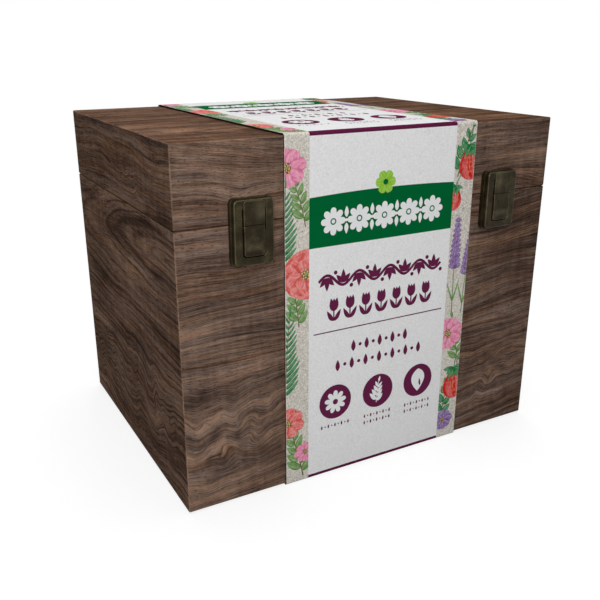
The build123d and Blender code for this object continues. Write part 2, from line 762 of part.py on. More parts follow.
with BuildPart() as pen_cap_shell:
    with BuildSketch(Plane.XY.offset(cap_foot)):
        with Locations((accessory_x, pen_y)):
            Circle(pen_radius)
    extrude(amount=pen_cap)
    top = pen_cap_shell.faces().sort_by(Axis.Z)[-1]
    fillet(top.edges(), radius=cap_wall)
    with BuildSketch(Plane.XY.offset(cap_foot)):
        with Locations((accessory_x, pen_y)):
            Circle(pen_neck)
    extrude(amount=pen_cap - 2 * cap_wall, mode=Mode.SUBTRACT)
    clip_y = pen_y + pen_radius + pen_clip_thickness / 2
    with BuildSketch(Plane.XY.offset(cap_foot + pen_cap - pen_clip_length)):
        with Locations((accessory_x, clip_y)):
            Rectangle(pen_clip_width, pen_clip_thickness)
    extrude(amount=pen_clip_length - 2 * cap_wall)
    with BuildSketch(Plane.XY.offset(cap_foot + pen_cap - 5 * cap_wall)):
        with Locations((accessory_x, pen_y + pen_radius)):
            Rectangle(pen_clip_width, 2 * pen_clip_thickness)
    extrude(amount=3 * cap_wall)
save(pen_cap_shell, "pen_cap")
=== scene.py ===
"""Dresses the garden seed organizer box.

Walnut boards, antique bronze latches and hinges, a printed card sleeve, and the cards,
notebook, plant labels and pen that are kept inside, in a plain pale studio.

Lengths are metres unless a name says otherwise. +Z is up and the front faces -Y.
"""

from __future__ import annotations

import json
import logging
import math
from collections.abc import Callable, Mapping, Sequence
from dataclasses import dataclass, field
from enum import Enum
from typing import Any, Union

import bpy
from mathutils import Matrix, Vector

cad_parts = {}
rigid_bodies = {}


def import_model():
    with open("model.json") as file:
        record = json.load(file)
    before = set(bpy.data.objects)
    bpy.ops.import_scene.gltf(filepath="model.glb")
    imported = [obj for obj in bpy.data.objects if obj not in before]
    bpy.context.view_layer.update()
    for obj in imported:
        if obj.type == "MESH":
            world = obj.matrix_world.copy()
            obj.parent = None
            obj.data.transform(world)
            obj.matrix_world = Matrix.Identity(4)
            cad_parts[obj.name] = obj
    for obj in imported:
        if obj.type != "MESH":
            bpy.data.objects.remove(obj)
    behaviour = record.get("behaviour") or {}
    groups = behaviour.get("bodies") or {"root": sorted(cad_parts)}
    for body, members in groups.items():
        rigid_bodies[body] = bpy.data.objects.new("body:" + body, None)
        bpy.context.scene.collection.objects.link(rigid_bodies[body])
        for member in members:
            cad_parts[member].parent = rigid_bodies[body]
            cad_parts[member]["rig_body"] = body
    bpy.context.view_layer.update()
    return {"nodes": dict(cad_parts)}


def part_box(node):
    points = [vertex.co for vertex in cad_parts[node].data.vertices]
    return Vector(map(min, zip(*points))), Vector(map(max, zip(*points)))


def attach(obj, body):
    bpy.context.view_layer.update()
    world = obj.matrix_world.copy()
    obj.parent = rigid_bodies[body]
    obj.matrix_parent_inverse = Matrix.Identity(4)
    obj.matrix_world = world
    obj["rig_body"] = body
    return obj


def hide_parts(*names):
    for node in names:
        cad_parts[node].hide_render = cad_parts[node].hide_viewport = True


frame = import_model()

log = logging.getLogger("seed_box")
MM = 0.001
LIT = 0.79  # share of full light that falls on the box
INSIDE_LIT = 0.8  # the same for what is kept inside
PALEST = 0.9  # no surface is paler
MATTE = 0.0005  # specular level of wood, card and ink
SAME_PLACE = 0.001 * MM  # points this close are one
SAME_PLANE = math.radians(0.8)  # faces that turn by less are one
FACING = 0.965  # a flat face's normal has a part at least this large
Colour = tuple[float, float, float]
Point = tuple[float, float]
Piece = bpy.types.Object
Material = bpy.types.Material


def srgb(red: float, green: float, blue: float, light: float = LIT) -> Colour:
    """Turns a screen colour into a surface colour.

    Args:
        red, green, blue: Screen values from 0 to 255.
        light: How brightly the surface that shows this colour is lit.

    Returns:
        Linear red, green and blue.
    """

    def linear(value: float) -> float:
        """Undoes the screen's curve for one channel."""
        share = value / 255
        return share / 12.92 if share <= 0.04045 else ((share + 0.055) / 1.055) ** 2.4

    return tuple(min(linear(value) / light, PALEST) for value in (red, green, blue))


# ---------------- shader maths


class Signal:
    """A socket that takes part in Python arithmetic by adding Math nodes."""

    def __init__(self, sheet: Sheet, socket: bpy.types.NodeSocket) -> None:
        """Wraps an output socket of a sheet's node."""
        self.sheet = sheet
        self.socket = socket

    def math(self, operation: str, *others: Value) -> Signal:
        """Applies a Math node to this value and the others."""
        operands = dict(enumerate((self, *others)))
        return self.sheet.add("ShaderNodeMath", {"operation": operation}, operands)

    def __add__(self, other: Value) -> Signal:
        """Adds."""
        return self.math("ADD", other)

    def __sub__(self, other: Value) -> Signal:
        """Subtracts."""
        return self.math("SUBTRACT", other)

    def __rsub__(self, other: Value) -> Signal:
        """Subtracts from a number."""
        return self.sheet.add("ShaderNodeMath", {"operation": "SUBTRACT"}, {0: other, 1: self})

    def __mul__(self, other: Value) -> Signal:
        """Multiplies."""
        return self.math("MULTIPLY", other)

    __radd__, __rmul__ = __add__, __mul__

    def __truediv__(self, other: Value) -> Signal:
        """Divides."""
        return self.math("DIVIDE", other)

    def __abs__(self) -> Signal:
        """Drops the sign."""
        return self.math("ABSOLUTE")

    def least(self, other: Value) -> Signal:
        """Takes the smaller of two values."""
        return self.math("MINIMUM", other)

    def most(self, other: Value) -> Signal:
        """Takes the larger of two values."""
        return self.math("MAXIMUM", other)

    def far(self, other: Signal) -> Signal:
        """Gives the distance from the origin when the two values are a place."""
        return (self * self + other * other).math("SQRT")

    def hill(self, other: Signal) -> Signal:
        """Gives 1 where both values are 0, and less and less round it."""
        return (self * self * -1.0 - other * other).math("EXPONENT")

    def rise(self, low: float, high: float) -> Signal:
        """Climbs smoothly from 0 at low to 1 at high."""
        inputs = {"Value": self, "From Min": low, "From Max": high}
        return self.sheet.add("ShaderNodeMapRange", {"interpolation_type": "SMOOTHSTEP"}, inputs)

    def below(self, limit: Value, soft: float = 0.05) -> Signal:
        """Gives 1 where the value is under a limit, with a short soft edge."""
        return ((limit - self) * (1 / soft) + 0.5).clamp()

    def clamp(self) -> Signal:
        """Keeps the value between 0 and 1."""
        return self.sheet.add("ShaderNodeClamp", {}, {"Value": self})

    def output(self, name: str | int) -> Signal:
        """Gives another output of the node that this signal comes from."""
        return Signal(self.sheet, self.socket.node.outputs[name])


Value = Union[Signal, float, tuple]


class Sheet:
    """The node tree of one material or world."""

    def __init__(self, name: str, kind: str = "materials") -> None:
        """Starts an empty material, or other data of this kind.

        Args:
            name: What the material or world is called.
            kind: Which list of Blender's data it joins.
        """
        self.owner = getattr(bpy.data, kind).new(name)
        self.owner.use_nodes = True
        self.tree = self.owner.node_tree
        self.tree.nodes.clear()

    def add(
        self,
        kind: str,
        settings: Mapping[str, Any] | None = None,
        inputs: Mapping[str | int, Value] | None = None,
        output: str | int = 0,
    ) -> Signal:
        """Adds a node.

        Args:
            kind: The node's type.
            settings: Its properties, set first. "stops" are a ramp's (position, colour) pairs.
            inputs: Values or signals for its sockets, by name or number.
            output: The output to return.

        Returns:
            The chosen output.
        """
        node = self.tree.nodes.new(kind)
        for key, value in (settings or {}).items():
            if key == "stops":
                self._set_stops(node.color_ramp, value)
            else:
                setattr(node, key, value)
        for key, value in (inputs or {}).items():
            if isinstance(value, Signal):
                self.tree.links.new(value.socket, node.inputs[key])
            else:
                node.inputs[key].default_value = value
        return Signal(self, node.outputs[output]) if node.outputs else None

    @staticmethod
    def _set_stops(ramp: bpy.types.ColorRamp, stops: Sequence[tuple[float, Colour]]) -> None:
        """Gives a colour ramp its stops.

        Args:
            ramp: The ramp.
            stops: Their positions and colours.
        """
        while len(ramp.elements) < len(stops):
            ramp.elements.new(0.5)
        for element, (position, colour) in zip(ramp.elements, stops):
            element.position = position
            element.color = (*colour, 1.0)

    def place_mm(self) -> Signal:
        """Gives the surface point in the frame, in millimetres."""
        point = self.add("ShaderNodeTexCoord", output="Object")
        return self.add("ShaderNodeVectorMath", {"operation": "SCALE"}, {0: point, "Scale": 1 / MM})

    def split(self, vector: Signal) -> tuple[Signal, Signal, Signal]:
        """Takes a vector apart."""
        x = self.add("ShaderNodeSeparateXYZ", {}, {0: vector})
        return x, x.output(1), x.output(2)

    def join(self, x: Value, y: Value, z: Value) -> Signal:
        """Puts a vector together."""
        return self.add("ShaderNodeCombineXYZ", {}, {0: x, 1: y, 2: z})

    def stretch(self, vector: Signal, scale: Sequence[float], shift: float = 0.0) -> Signal:
        """Scales a vector per axis and shifts it to another part of a pattern.

        Args:
            vector: The vector.
            scale: How much it grows along each axis.
            shift: How far it moves.

        Returns:
            The new vector.
        """
        away = (shift, shift * 1.7, shift * 2.3)
        inputs = {"Vector": vector, "Scale": tuple(scale), "Location": away}
        return self.add("ShaderNodeMapping", {}, inputs)

    def noise(
        self, vector: Signal, scale: float = 1.0, detail: float = 2.0, rough: float = 0.5
    ) -> Signal:
        """Adds a 3-D noise of about 0.5 on average."""
        inputs = {"Vector": vector, "Scale": scale, "Detail": detail, "Roughness": rough}
        return self.add("ShaderNodeTexNoise", {}, inputs)

    def wander(
        self,
        vector: Signal,
        scale: Sequence[float],
        shift: float,
        detail: float,
        rough: float = 0.5,
    ) -> Signal:
        """Adds a stretched noise of about 0 on average."""
        return self.noise(self.stretch(vector, scale, shift), 1.0, detail, rough) - 0.5

    def mix(self, share: Value, first: Value, second: Value, blend: str = "MIX") -> Signal:
        """Mixes two colours.

        Args:
            share: How much of the second one shows.
            first, second: The colours.
            blend: How they mix.

        Returns:
            The mixed colour.
        """
        first, second = (v if isinstance(v, Signal) else (*v, 1.0) for v in (first, second))
        settings = {"data_type": "RGBA", "blend_type": blend}
        return self.add("ShaderNodeMix", settings, {0: share, 6: first, 7: second}, output=2)

    def shade(self, colour: Value, strength: Signal) -> Signal:
        """Multiplies a colour by a value."""
        grey = self.join(strength, strength, strength)
        return self.add("ShaderNodeVectorMath", {"operation": "MULTIPLY"}, {0: colour, 1: grey})

    def finish(
        self, base: Signal, rough: Value, height: Signal, depth: float, **fixed: Value
    ) -> Material:
        """Ends the material with a Principled shader.

        Args:
            base: Base colour.
            rough: Roughness.
            height: Relief from 0 to 1.
            depth: How deep that relief is.
            fixed: Other shader inputs, with underscores for the spaces in their names.

        Returns:
            The finished material.
        """
        relief = {"Height": height, "Distance": depth, "Strength": 1.0}
        inputs: dict[str, Value] = {"Base Color": base, "Roughness": rough}
        inputs["Normal"] = self.add("ShaderNodeBump", {}, relief)
        inputs.update({name.replace("_", " "): value for name, value in fixed.items()})
        shader = self.add("ShaderNodeBsdfPrincipled", {}, inputs)
        self.add("ShaderNodeOutputMaterial", {}, {"Surface": shader})
        return self.owner


# ---------------- finishes


class Grain(Enum):
    """How a board lies: the axes along its grain, across it, and through its thickness."""

    FRONT = (0, 2, 1)
    SIDE = (1, 2, 0)
    TOP = (0, 1, 2)


@dataclass(frozen=True)
class Heart:
    """Where the middle of the tree lies from a board, which makes its flames. Millimetres."""

    across: float = -260.0  # the middle's place across the grain
    depth: float = 0.0  # how far it lies behind the board's face
    taper: float = 0.0  # how fast that depth grows along the grain
    rings: float = 0.07  # how dark the growth rings show


@dataclass(frozen=True)
class Burl:
    """A place where the grain swirls. Millimetres."""

    along: float
    across: float
    length: float
    height: float
    lift: float = 60.0
    fold: float = 0.012  # how fast the swirl changes across the grain, per millimetre
    patchy: float = 0.0  # how much its tone varies


@dataclass(frozen=True)
class Tone:
    """How one board differs from the rest in tone, and in painted shade along its grain."""

    lift: float = 0.0  # how much paler it is
    drift: float = 0.0  # how much it darkens along its grain, per metre: partly painted shade where the light falls off, partly the board's own tone
    warmth: float = 0.0  # how much redder it is
    tint: Colour = (1.0, 1.0, 1.0)  # multiplies its colour


@dataclass(frozen=True)
class Figure:
    """What sets one board's grain apart from the others'."""

    heart: Heart = Heart()
    burls: tuple[Burl, ...] = ()
    slant: float = 0.0  # turns the grain in the board's face, radians
    cast: Tone = Tone()


@dataclass(frozen=True)
class Walnut:
    """Dark walnut with wavy streaks, open pores, a painted shadow along the seam and pale edges: a
    painted highlight that also stands for wear.
    """

    name: str
    grain: Grain
    seed: float
    low: Vector  # lowest and highest corner of the block whose edges are painted pale, as a highlight that also stands for wear
    high: Vector
    figure: Figure
    ring_mm: float = 4.4  # between growth rings

    DARK = srgb(42, 31, 26)
    BROWN = srgb(76, 58, 48)
    TAN = srgb(105, 83, 70)
    PALE = srgb(142, 114, 96)
    EDGE_WEAR_HIGHLIGHT = srgb(142, 115, 97)
    SEAM_SHADOW = srgb(24, 17, 13)
    COOL = (0.89, 0.99, 1.10)  # tints of the greyer and the redder streaks
    WARM = (1.09, 0.99, 0.86)

    def material(self) -> Material:
        """Builds the board's material.

        Returns:
            The finished walnut.
        """
        sheet = Sheet(self.name)
        place = sheet.place_mm()
        axes = sheet.split(place)
        along, across, through = (axes[number] for number in self.grain.value)
        heart, cast = self.figure.heart, self.figure.cast
        cosine, sine = math.cos(self.figure.slant), math.sin(self.figure.slant)
        run = along * cosine + across * sine
        rise = across * cosine - along * sine
        board = sheet.join(run, rise, through)
        fibres, swirl = self._fibres(sheet, board, run, rise)
        flow = (fibres - heart.across).far(heart.depth + run * heart.taper)

        def streaks(
            over: Signal, length: float, width: float, shift: float, detail: float
        ) -> Signal:
            """Adds streaks of about these millimetres that follow rings or fibres."""
            at = sheet.join(run * (1 / length), over * (1 / width), through * (0.3 / width))
            return sheet.wander(at, (1, 1, 1), self.seed + shift, detail, 0.6)

        band = streaks(flow, 230.0, 8.0, 7.0, 3.0)
        broad, narrow = streaks(flow, 190.0, 4.4, 11.0, 4.0), streaks(fibres, 150.0, 2.4, 9.0, 4.0)
        streak = broad * 0.5 + narrow * 0.5
        fibre = streaks(fibres, 14.0, 0.6, 13.0, 1.0)
        vein = (streaks(fibres, 70.0, 1.3, 17.0, 2.0) + 0.5).rise(0.60, 0.67)
        pores = (streaks(fibres, 3.0, 0.55, 19.0, 1.0) + 0.5).rise(0.57, 0.69)
        year = (flow * (1 / self.ring_mm) + band * 1.6).math("FRACT")
        gate = (0.60 + streaks(flow, 80.0, 14.0, 23.0, 1.0) * 3.0).clamp()
        ring = (1 - abs(year - 0.5).rise(0.0, 0.32)) * gate
        cloud = sheet.wander(board, (0.012, 0.036, 0.02), self.seed + 29, 2.0)
        curl = sheet.wander(board, (0.22, 0.06, 0.05), self.seed + 31, 2.0)

        tone = band * 0.36 + streak * 0.70 + fibre * 0.42 + cloud * 0.44 + curl * 0.16 + 0.535
        # The drift darkens a board along its grain: partly painted shade where the light falls off,
        # partly tone.
        tone = tone - ring * heart.rings - vein * 0.13 - along * (cast.drift * MM) + cast.lift
        warmth: Value = 0.5 + cast.warmth
        if swirl is not None:
            knot = sheet.wander(board, (0.085, 0.11, 0.05), self.seed + 43, 3.0)
            tone = tone + knot * swirl * 0.9
            warmth = knot * swirl * 3.0 + warmth
        stops = [(0.24, self.DARK), (0.43, self.BROWN), (0.56, self.TAN), (0.76, self.PALE)]
        colour = sheet.add("ShaderNodeValToRGB", {"stops": stops}, {0: tone})
        hue = (streaks(fibres, 90.0, 5.0, 37.0, 3.0) * 2.6 + warmth).clamp()
        tints = ([a * b for a, b in zip(end, cast.tint)] for end in (self.COOL, self.WARM))
        colour = sheet.mix(1.0, colour, sheet.mix(hue, *tints), "MULTIPLY")
        colour = sheet.shade(colour, 1 - pores * 0.50)
        # Painted highlight along the case's outer edges, which also stands for wear.
        colour = sheet.mix(self._edge_wear_and_highlight(sheet, place) * 0.62, colour, self.EDGE_WEAR_HIGHLIGHT)
        # Painted shadow along the seam between lid and body.
        colour = sheet.mix(self._seam_shadow(*axes), colour, self.SEAM_SHADOW)
        rough = 0.56 - (tone - 0.5) * 0.3 + pores * 0.12
        relief = fibre * 0.4 + streak * 0.3 - pores * 0.6
        return sheet.finish(colour, rough, relief, 0.06 * MM, Specular_IOR_Level=MATTE)

    def _fibres(
        self, sheet: Sheet, board: Signal, run: Signal, rise: Signal
    ) -> tuple[Signal, Signal | None]:
        """Measures across the fibres as they sway along the board, in millimetres.

        Args:
            sheet: The board's node tree.
            board: The point along, across and through the board.
            run: Its first part.
            rise: Its second part.

        Returns:
            The place across, which is the same all along one fibre, and how patchy the swirls are.
        """
        sway = sheet.wander(board, (0.009, 0.022, 0.02), self.seed, 1.0)
        ripple = sheet.wander(board, (0.045, 0.06, 0.05), self.seed + 3, 2.0)
        lifted = rise + sway * 22.0 + ripple * 1.2
        swirl = None
        for burl in self.figure.burls:
            twist = sheet.wander(board, (0.044, burl.fold, 0.05), self.seed + 5, 1.2)
            off = (rise - burl.across) / burl.height
            near = ((run - burl.along) / burl.length).hill(off)
            lifted = lifted + near * (twist * burl.lift + burl.lift * 0.15)
            if burl.patchy:
                patch = near * burl.patchy
                swirl = patch if swirl is None else swirl + patch
        return lifted, swirl

    def _seam_shadow(self, x: Signal, y: Signal, z: Signal) -> Signal:
        """Paints a shadow line on the outside, where lid and body meet.

        Args:
            x, y, z: The surface point, in millimetres.

        Returns:
            1 in the line and 0 away from it.
        """
        middle = (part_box("body_front")[1].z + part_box("lid_front")[0].z) / 2 / MM
        side = (self.high.x / MM - abs(x)).least(self.high.y / MM - abs(y))
        return (1 - abs(z - middle).rise(0.25, 0.75)) * (1 - side.rise(0.3, 0.9))

    def _edge_wear_and_highlight(self, sheet: Sheet, place: Signal) -> Signal:
        """Marks the case's outer edges, which are painted pale as a highlight that also stands for
        wear.

        Args:
            sheet: The board's node tree.
            place: The surface point, in millimetres.

        Returns:
            Up to 1 along an edge and 0 away from it.
        """
        gaps = []
        for value, low, high in zip(sheet.split(place), self.low, self.high):
            middle, half = (low + high) / 2 / MM, (high - low) / 2 / MM
            gaps.append(half - abs(value - middle))
        first, second, third = gaps
        median = first.least(second).most(first.most(second).least(third))
        chip = sheet.noise(place, 0.35, 3.0, 0.7)
        wear_and_sheen = sheet.noise(place, 0.035, 1.0).rise(0.36, 0.60) * 0.7 + 0.3
        return (1 - (median + (0.5 - chip) * 1.3).rise(0.20, 0.85)) * wear_and_sheen


@dataclass(frozen=True)
class AntiqueBronze:
    """Brass toned dark olive, brighter in patches on its rims and where fingers press: painted
    highlights that also stand for rub wear.
    """

    name: str = "antique_bronze"

    DARK = srgb(27, 22, 11, 1.0)
    OLIVE = srgb(43, 37, 22, 1.0)
    PALE = srgb(82, 75, 53, 1.0)
    RUB_AND_HIGHLIGHT = srgb(102, 95, 73, 1.0)

    def material(self) -> Material:
        """Builds the fittings' material.

        Returns:
            The finished bronze.
        """
        sheet = Sheet(self.name)
        place = sheet.place_mm()
        patch = sheet.noise(place, 0.13, 4.0, 0.6)
        grit = sheet.noise(place, 3.0, 2.0)
        brush = sheet.noise(sheet.stretch(place, (0.5, 4.0, 9.0)), detail=2.0)
        tone = 0.5 + (patch - 0.5) * 0.60 + (brush - 0.5) * 0.25 + (grit - 0.5) * 0.3
        stops = [(0.30, self.DARK), (0.50, self.OLIVE), (0.76, self.PALE)]
        colour = sheet.add("ShaderNodeValToRGB", {"stops": stops}, {0: tone})
        edge = sheet.split(sheet.add("ShaderNodeVertexColor", {"layer_name": "rubbed"}))[0]
        # Painted highlight on the bevelled rims, in patches, which also stands for rub wear.
        colour = sheet.mix(edge * patch * 0.60, colour, self.RUB_AND_HIGHLIGHT)
        # Painted highlights on the lever tips and the hasps' inner upper corners.
        colour = sheet.mix(self._thumb_highlight(sheet, place) * patch * 0.7, colour, self.RUB_AND_HIGHLIGHT)
        rough = 0.30 + (grit - 0.5) * 0.14 + (patch - 0.5) * 0.14
        relief = brush * 0.6 + grit * 0.4
        bare = {"Metallic": 0.20 + edge * 0.50, "Specular_IOR_Level": 0.10}
        return sheet.finish(colour, rough, relief, 0.010 * MM, **bare)

    @staticmethod
    def _thumb_highlight(sheet: Sheet, place: Signal) -> Signal:
        """Marks the painted highlights on the levers' tips and the hasps' inner upper corners,
        where fingers also rub.

        Args:
            sheet: The bronze's node tree.
            place: The surface point, in millimetres.

        Returns:
            1 or more where the painted highlight is brightest and 0 elsewhere.
        """
        x, _, z = sheet.split(place)
        low, high = (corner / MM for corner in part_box("latch_left_lever"))
        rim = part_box("latch_left_hasp")[1].z / MM
        middle = abs(x) - abs(low.x + high.x) / 2
        tip_up, tip_half = 5.5, 3.5
        tip = 1 - abs((z - (low.z + tip_up)) * (1 / tip_half)).rise(0.0, 1.0)
        inward, down = 4.0, 6.0
        corner = ((middle + inward) * (1 / 3.0)).hill((z - (rim - down)) * (1 / down))
        return (tip * (1 - abs(middle).rise(3.0, 6.5))).most(corner * 1.4)


@dataclass(frozen=True)
class Layout:
    """Where the sleeve's printed areas lie, in millimetres from its lower front edge upwards."""

    label_half: float = 55.0
    strip_half: float = 71.7
    banner_low: float = 161.6
    banner_high: float = 193.0
    banner_arch: float = 1.6
    rule_at: float = 104.6
    rule_half: float = 51.5
    rule_weight: float = 0.8
    fold_band: float = 2.3  # the plum line down the front from the upper fold
    fold_reach: float = 2.99  # and back over the top
    foot_band: float = 3.0  # the plum line up the front from the lower fold
    foot_reach: float = 2.0  # and back underneath
    top_shift: float = 114.0  # the top repeats the front's layout, moved by this much
    fold: float = 2.6  # no shape is printed this close to a folded edge


class Ink(Enum):
    """Printing inks. The last number is how much a shape is shaded as a painted one."""

    PAPER = (*srgb(206, 207, 207), 0.0)
    PLUM = (*srgb(88, 30, 61), 0.0)
    BOTTLE = (*srgb(2, 85, 43), 0.0)
    LIME = (*srgb(126, 176, 34), 0.5)
    FERN = (*srgb(22, 112, 52), 0.75)
    MOSS = (*srgb(92, 132, 56), 0.8)
    STEM = (*srgb(96, 76, 44), 0.6)
    CORAL = (*srgb(202, 82, 74), 1.0)
    ROSE = (*srgb(206, 112, 146), 1.0)
    LILAC = (*srgb(112, 74, 138), 1.0)
    BERRY = (*srgb(186, 34, 24), 0.7)
    GOLD = (*srgb(206, 160, 62), 0.6)
    SHADE = (*srgb(70, 34, 40), 0.6)


@dataclass(frozen=True)
class SleeveCard:
    """Uncoated recycled card with a smooth pale label area, printed banner, bands and rule."""

    low: Vector
    high: Vector
    layout: Layout
    name: str = "sleeve_card"
    skin: float = 0.4  # how deep a face's print reaches, in millimetres

    STOCK = srgb(188, 183, 174)
    LABEL = srgb(207, 207, 207)
    FLECK = srgb(84, 74, 64)
    CUT_EDGE_SHADOW = srgb(44, 34, 28)
    RULE = srgb(80, 24, 54)

    def material(self) -> Material:
        """Builds the sleeve's material.

        Returns:
            The finished card.
        """
        sheet = Sheet(self.name)
        place = sheet.place_mm()
        x, y, z = sheet.split(place)
        front, back, top = self.low.y / MM, self.high.y / MM, self.high.z / MM
        plan = self.layout
        on_front = y.below(front + self.skin)
        on_back = 1 - y.below(back - self.skin)
        on_top = 1 - z.below(top - self.skin)
        level = z + (y + plan.top_shift - z) * on_top
        label = abs(x).below(plan.label_half)

        mottle = sheet.noise(place, 0.55, 3.0, 0.65)
        tooth = sheet.noise(place, 1.0, 2.5, 0.8)
        fade = 1 - label * 0.74
        # The creases darken the card a little: painted shade in its wrinkles.
        crease = abs(sheet.noise(place, 0.42, 4.0, 0.8) - 0.5).rise(0.0, 0.045)
        grey = (mottle - 0.5) * 0.34 + (tooth - 0.5) * 1.75 - (1 - crease) * 0.10 - 0.01
        colour = sheet.shade(sheet.mix(label, self.STOCK, self.LABEL), 1 + grey * fade)

        arch = plan.banner_high + plan.banner_arch - x * x * (plan.banner_arch / plan.label_half**2)
        banner = level.below(arch) * (1 - level.below(plan.banner_low))
        rule = abs(level - plan.rule_at).below(plan.rule_weight / 2)
        rule = rule * abs(x).below(plan.rule_half)
        fold = (1 - z.below(top - plan.fold_band)) * y.below(front + plan.fold_reach)
        foot = z.below(plan.foot_band) * y.below(front + plan.foot_reach)
        printed = (on_front + on_back + on_top).clamp() * label
        plum = (rule * printed).most((fold + foot).clamp() * label)
        colour = sheet.mix(banner * printed, colour, Ink.BOTTLE.value[:3])
        colour = sheet.mix(plum, colour, self.RULE)
        flecks = self._flecks(sheet, place) * (1 - banner * printed * 0.9)
        colour = sheet.mix(flecks * (fade * 0.75 - 0.02), colour, self.FLECK)
        # Painted shadow on the card's cut side edges, where it stands off the wood.
        cut = 1 - abs(x).below(plan.strip_half - 0.03, 0.04)
        colour = sheet.mix(cut, colour, self.CUT_EDGE_SHADOW)
        relief = tooth * 0.5 + mottle * 0.3 + crease * 0.2 * fade
        return sheet.finish(colour, 0.82, relief, 0.10 * MM, Specular_IOR_Level=MATTE)

    @staticmethod
    def _flecks(sheet: Sheet, place: Signal) -> Signal:
        """Scatters short dark hairs and specks through the pulp.

        Args:
            sheet: The card's node tree.
            place: The surface point, in millimetres.

        Returns:
            1 in a hair or speck and 0 elsewhere.
        """
        hair = abs(sheet.noise(place, 0.30, 1.0) - 0.5)
        gate = sheet.noise(sheet.stretch(place, (1, 1, 1), 41.0), 0.22, 2.0)
        hairs = hair.below(0.009, 0.007) * gate.rise(0.54, 0.61)
        cells = {"Vector": place, "Scale": 0.30}
        speck = sheet.add("ShaderNodeTexVoronoi", {}, cells, output="Distance")
        return (hairs * 0.95).most(speck.below(0.10, 0.05) * gate.rise(0.40, 0.70))


@dataclass(frozen=True)
class PrintedShape:
    """Ink on card, for the flat shapes that carry their own colour and their own map."""

    name: str = "printing_ink"

    def material(self) -> Material:
        """Builds the ink's material.

        Returns:
            The finished ink.
        """
        sheet = Sheet(self.name)
        place = sheet.place_mm()
        ink = sheet.add("ShaderNodeVertexColor", {"layer_name": "ink"})
        painted = ink.output("Alpha")
        across, along, _ = sheet.split(sheet.add("ShaderNodeTexCoord", output="UV"))
        side = abs(across * 2 - 1)
        rays = sheet.noise(sheet.join(across * 9, along * 1.2, painted), 1.0, 3.0, 0.6)
        wash = sheet.noise(place, 0.45, 2.0)
        edge = side.rise(0.70, 1.0)
        shadow = (1 - along).rise(0.35, 1.0) * 0.42 + edge * 0.22
        dark = 1 - shadow + (rays - 0.5) * 0.5 + (wash - 0.5) * 0.3
        crease = 1 - side.rise(0.0, 0.12)
        tooth = sheet.noise(place, 2.6, 2.0, 0.6)
        flat = 1 + (tooth - 0.5) * 0.10
        strength = flat + (dark - crease * 0.16 - flat) * painted
        colour = sheet.shade(ink.output("Color"), strength)
        pale = along * 0.30 + (rays - 0.46) * 1.7 + (wash - 0.5) * 0.8 - edge * 0.25
        colour = sheet.mix(pale.clamp() * painted * 0.62, colour, Ink.PAPER.value[:3])
        return sheet.finish(colour, 0.8, tooth, 0.03 * MM, Specular_IOR_Level=MATTE)


@dataclass(frozen=True)
class PlainStock:
    """Matte board, paper or wood for the things inside, with fibres of one direction."""

    name: str
    colour: Colour
    spread: float  # how far its tone varies
    stretch: tuple[float, float, float] = (1.0, 1.0, 1.0)
    rough: float = 0.85

    def material(self) -> Material:
        """Builds the stock's material.

        Returns:
            The finished stock.
        """
        sheet = Sheet(self.name)
        place = sheet.place_mm()
        fibre = sheet.noise(sheet.stretch(place, self.stretch), 0.9, 4.0, 0.65)
        fleck = sheet.noise(place, 2.2, 1.0).rise(0.70, 0.76)
        grey = 1 + (fibre - 0.5) * self.spread - fleck * self.spread * 0.6
        return sheet.finish(sheet.shade(self.colour, grey), self.rough, fibre, 0.04 * MM)


@dataclass(frozen=True)
class SatinPlastic:
    """Moulded plastic with a fine spark-eroded skin."""

    name: str
    colour: Colour
    rough: float

    def material(self) -> Material:
        """Builds the plastic's material.

        Returns:
            The finished plastic.
        """
        sheet = Sheet(self.name)
        skin = sheet.noise(sheet.place_mm(), 6.0, 2.0)
        tint = sheet.shade(self.colour, 0.9 + skin * 0.2)
        return sheet.finish(tint, self.rough + (skin - 0.5) * 0.1, skin, 0.006 * MM)


# ---------------- modelling helpers


def deselect_all() -> None:
    """Leaves nothing selected and no object in edit mode."""
    if bpy.context.object is not None and bpy.context.object.mode != "OBJECT":
        bpy.ops.object.mode_set(mode="OBJECT")
    bpy.ops.object.select_all(action="DESELECT")


def pick(*pieces: Piece) -> None:
    """Selects pieces and makes the last one active.

    Args:
        pieces: The pieces.
    """
    deselect_all()
    for piece in pieces:
        piece.select_set(True)
    bpy.context.view_layer.objects.active = pieces[-1]


def new_piece(name: str, mesh: bpy.types.Mesh) -> Piece:
    """Puts a mesh in the scene as a piece of its own.

    Args:
        name: The piece's name.
        mesh: Its mesh.

    Returns:
        The piece.
    """
    piece = bpy.data.objects.new(name, mesh)
    bpy.context.scene.collection.objects.link(piece)
    return piece


def join_up(name: str, pieces: Sequence[Piece]) -> Piece:
    """Joins pieces into one under a new name.

    Args:
        name: The joined piece's name.
        pieces: What it is made of.

    Returns:
        The joined piece.
    """
    pick(*pieces)
    bpy.ops.object.join()
    bpy.context.object.name = name
    return bpy.context.object


def dress(node: str, material: Material) -> None:
    """Gives a CAD node's slots a material.

    Args:
        node: The node's name.
        material: Its material.
    """
    piece = frame["nodes"][node]
    if not piece.material_slots:
        piece.data.materials.append(material)
    for slot in piece.material_slots:
        slot.material = material
    log.info("%s is %s", node, material.name)


def paint(piece: Piece, material: Material) -> None:
    """Gives a new piece its only material."""
    piece.data.materials.clear()
    piece.data.materials.append(material)


def add_modifier(piece: Piece, kind: str, **settings: Any) -> None:
    """Adds a modifier to a piece and applies it.

    Args:
        piece: The piece to change.
        kind: The modifier's type.
        settings: Its properties.
    """
    pick(piece)
    modifier = piece.modifiers.new(kind.lower(), kind)
    for key, value in settings.items():
        setattr(modifier, key, value)
    bpy.ops.object.modifier_apply(modifier=modifier.name)


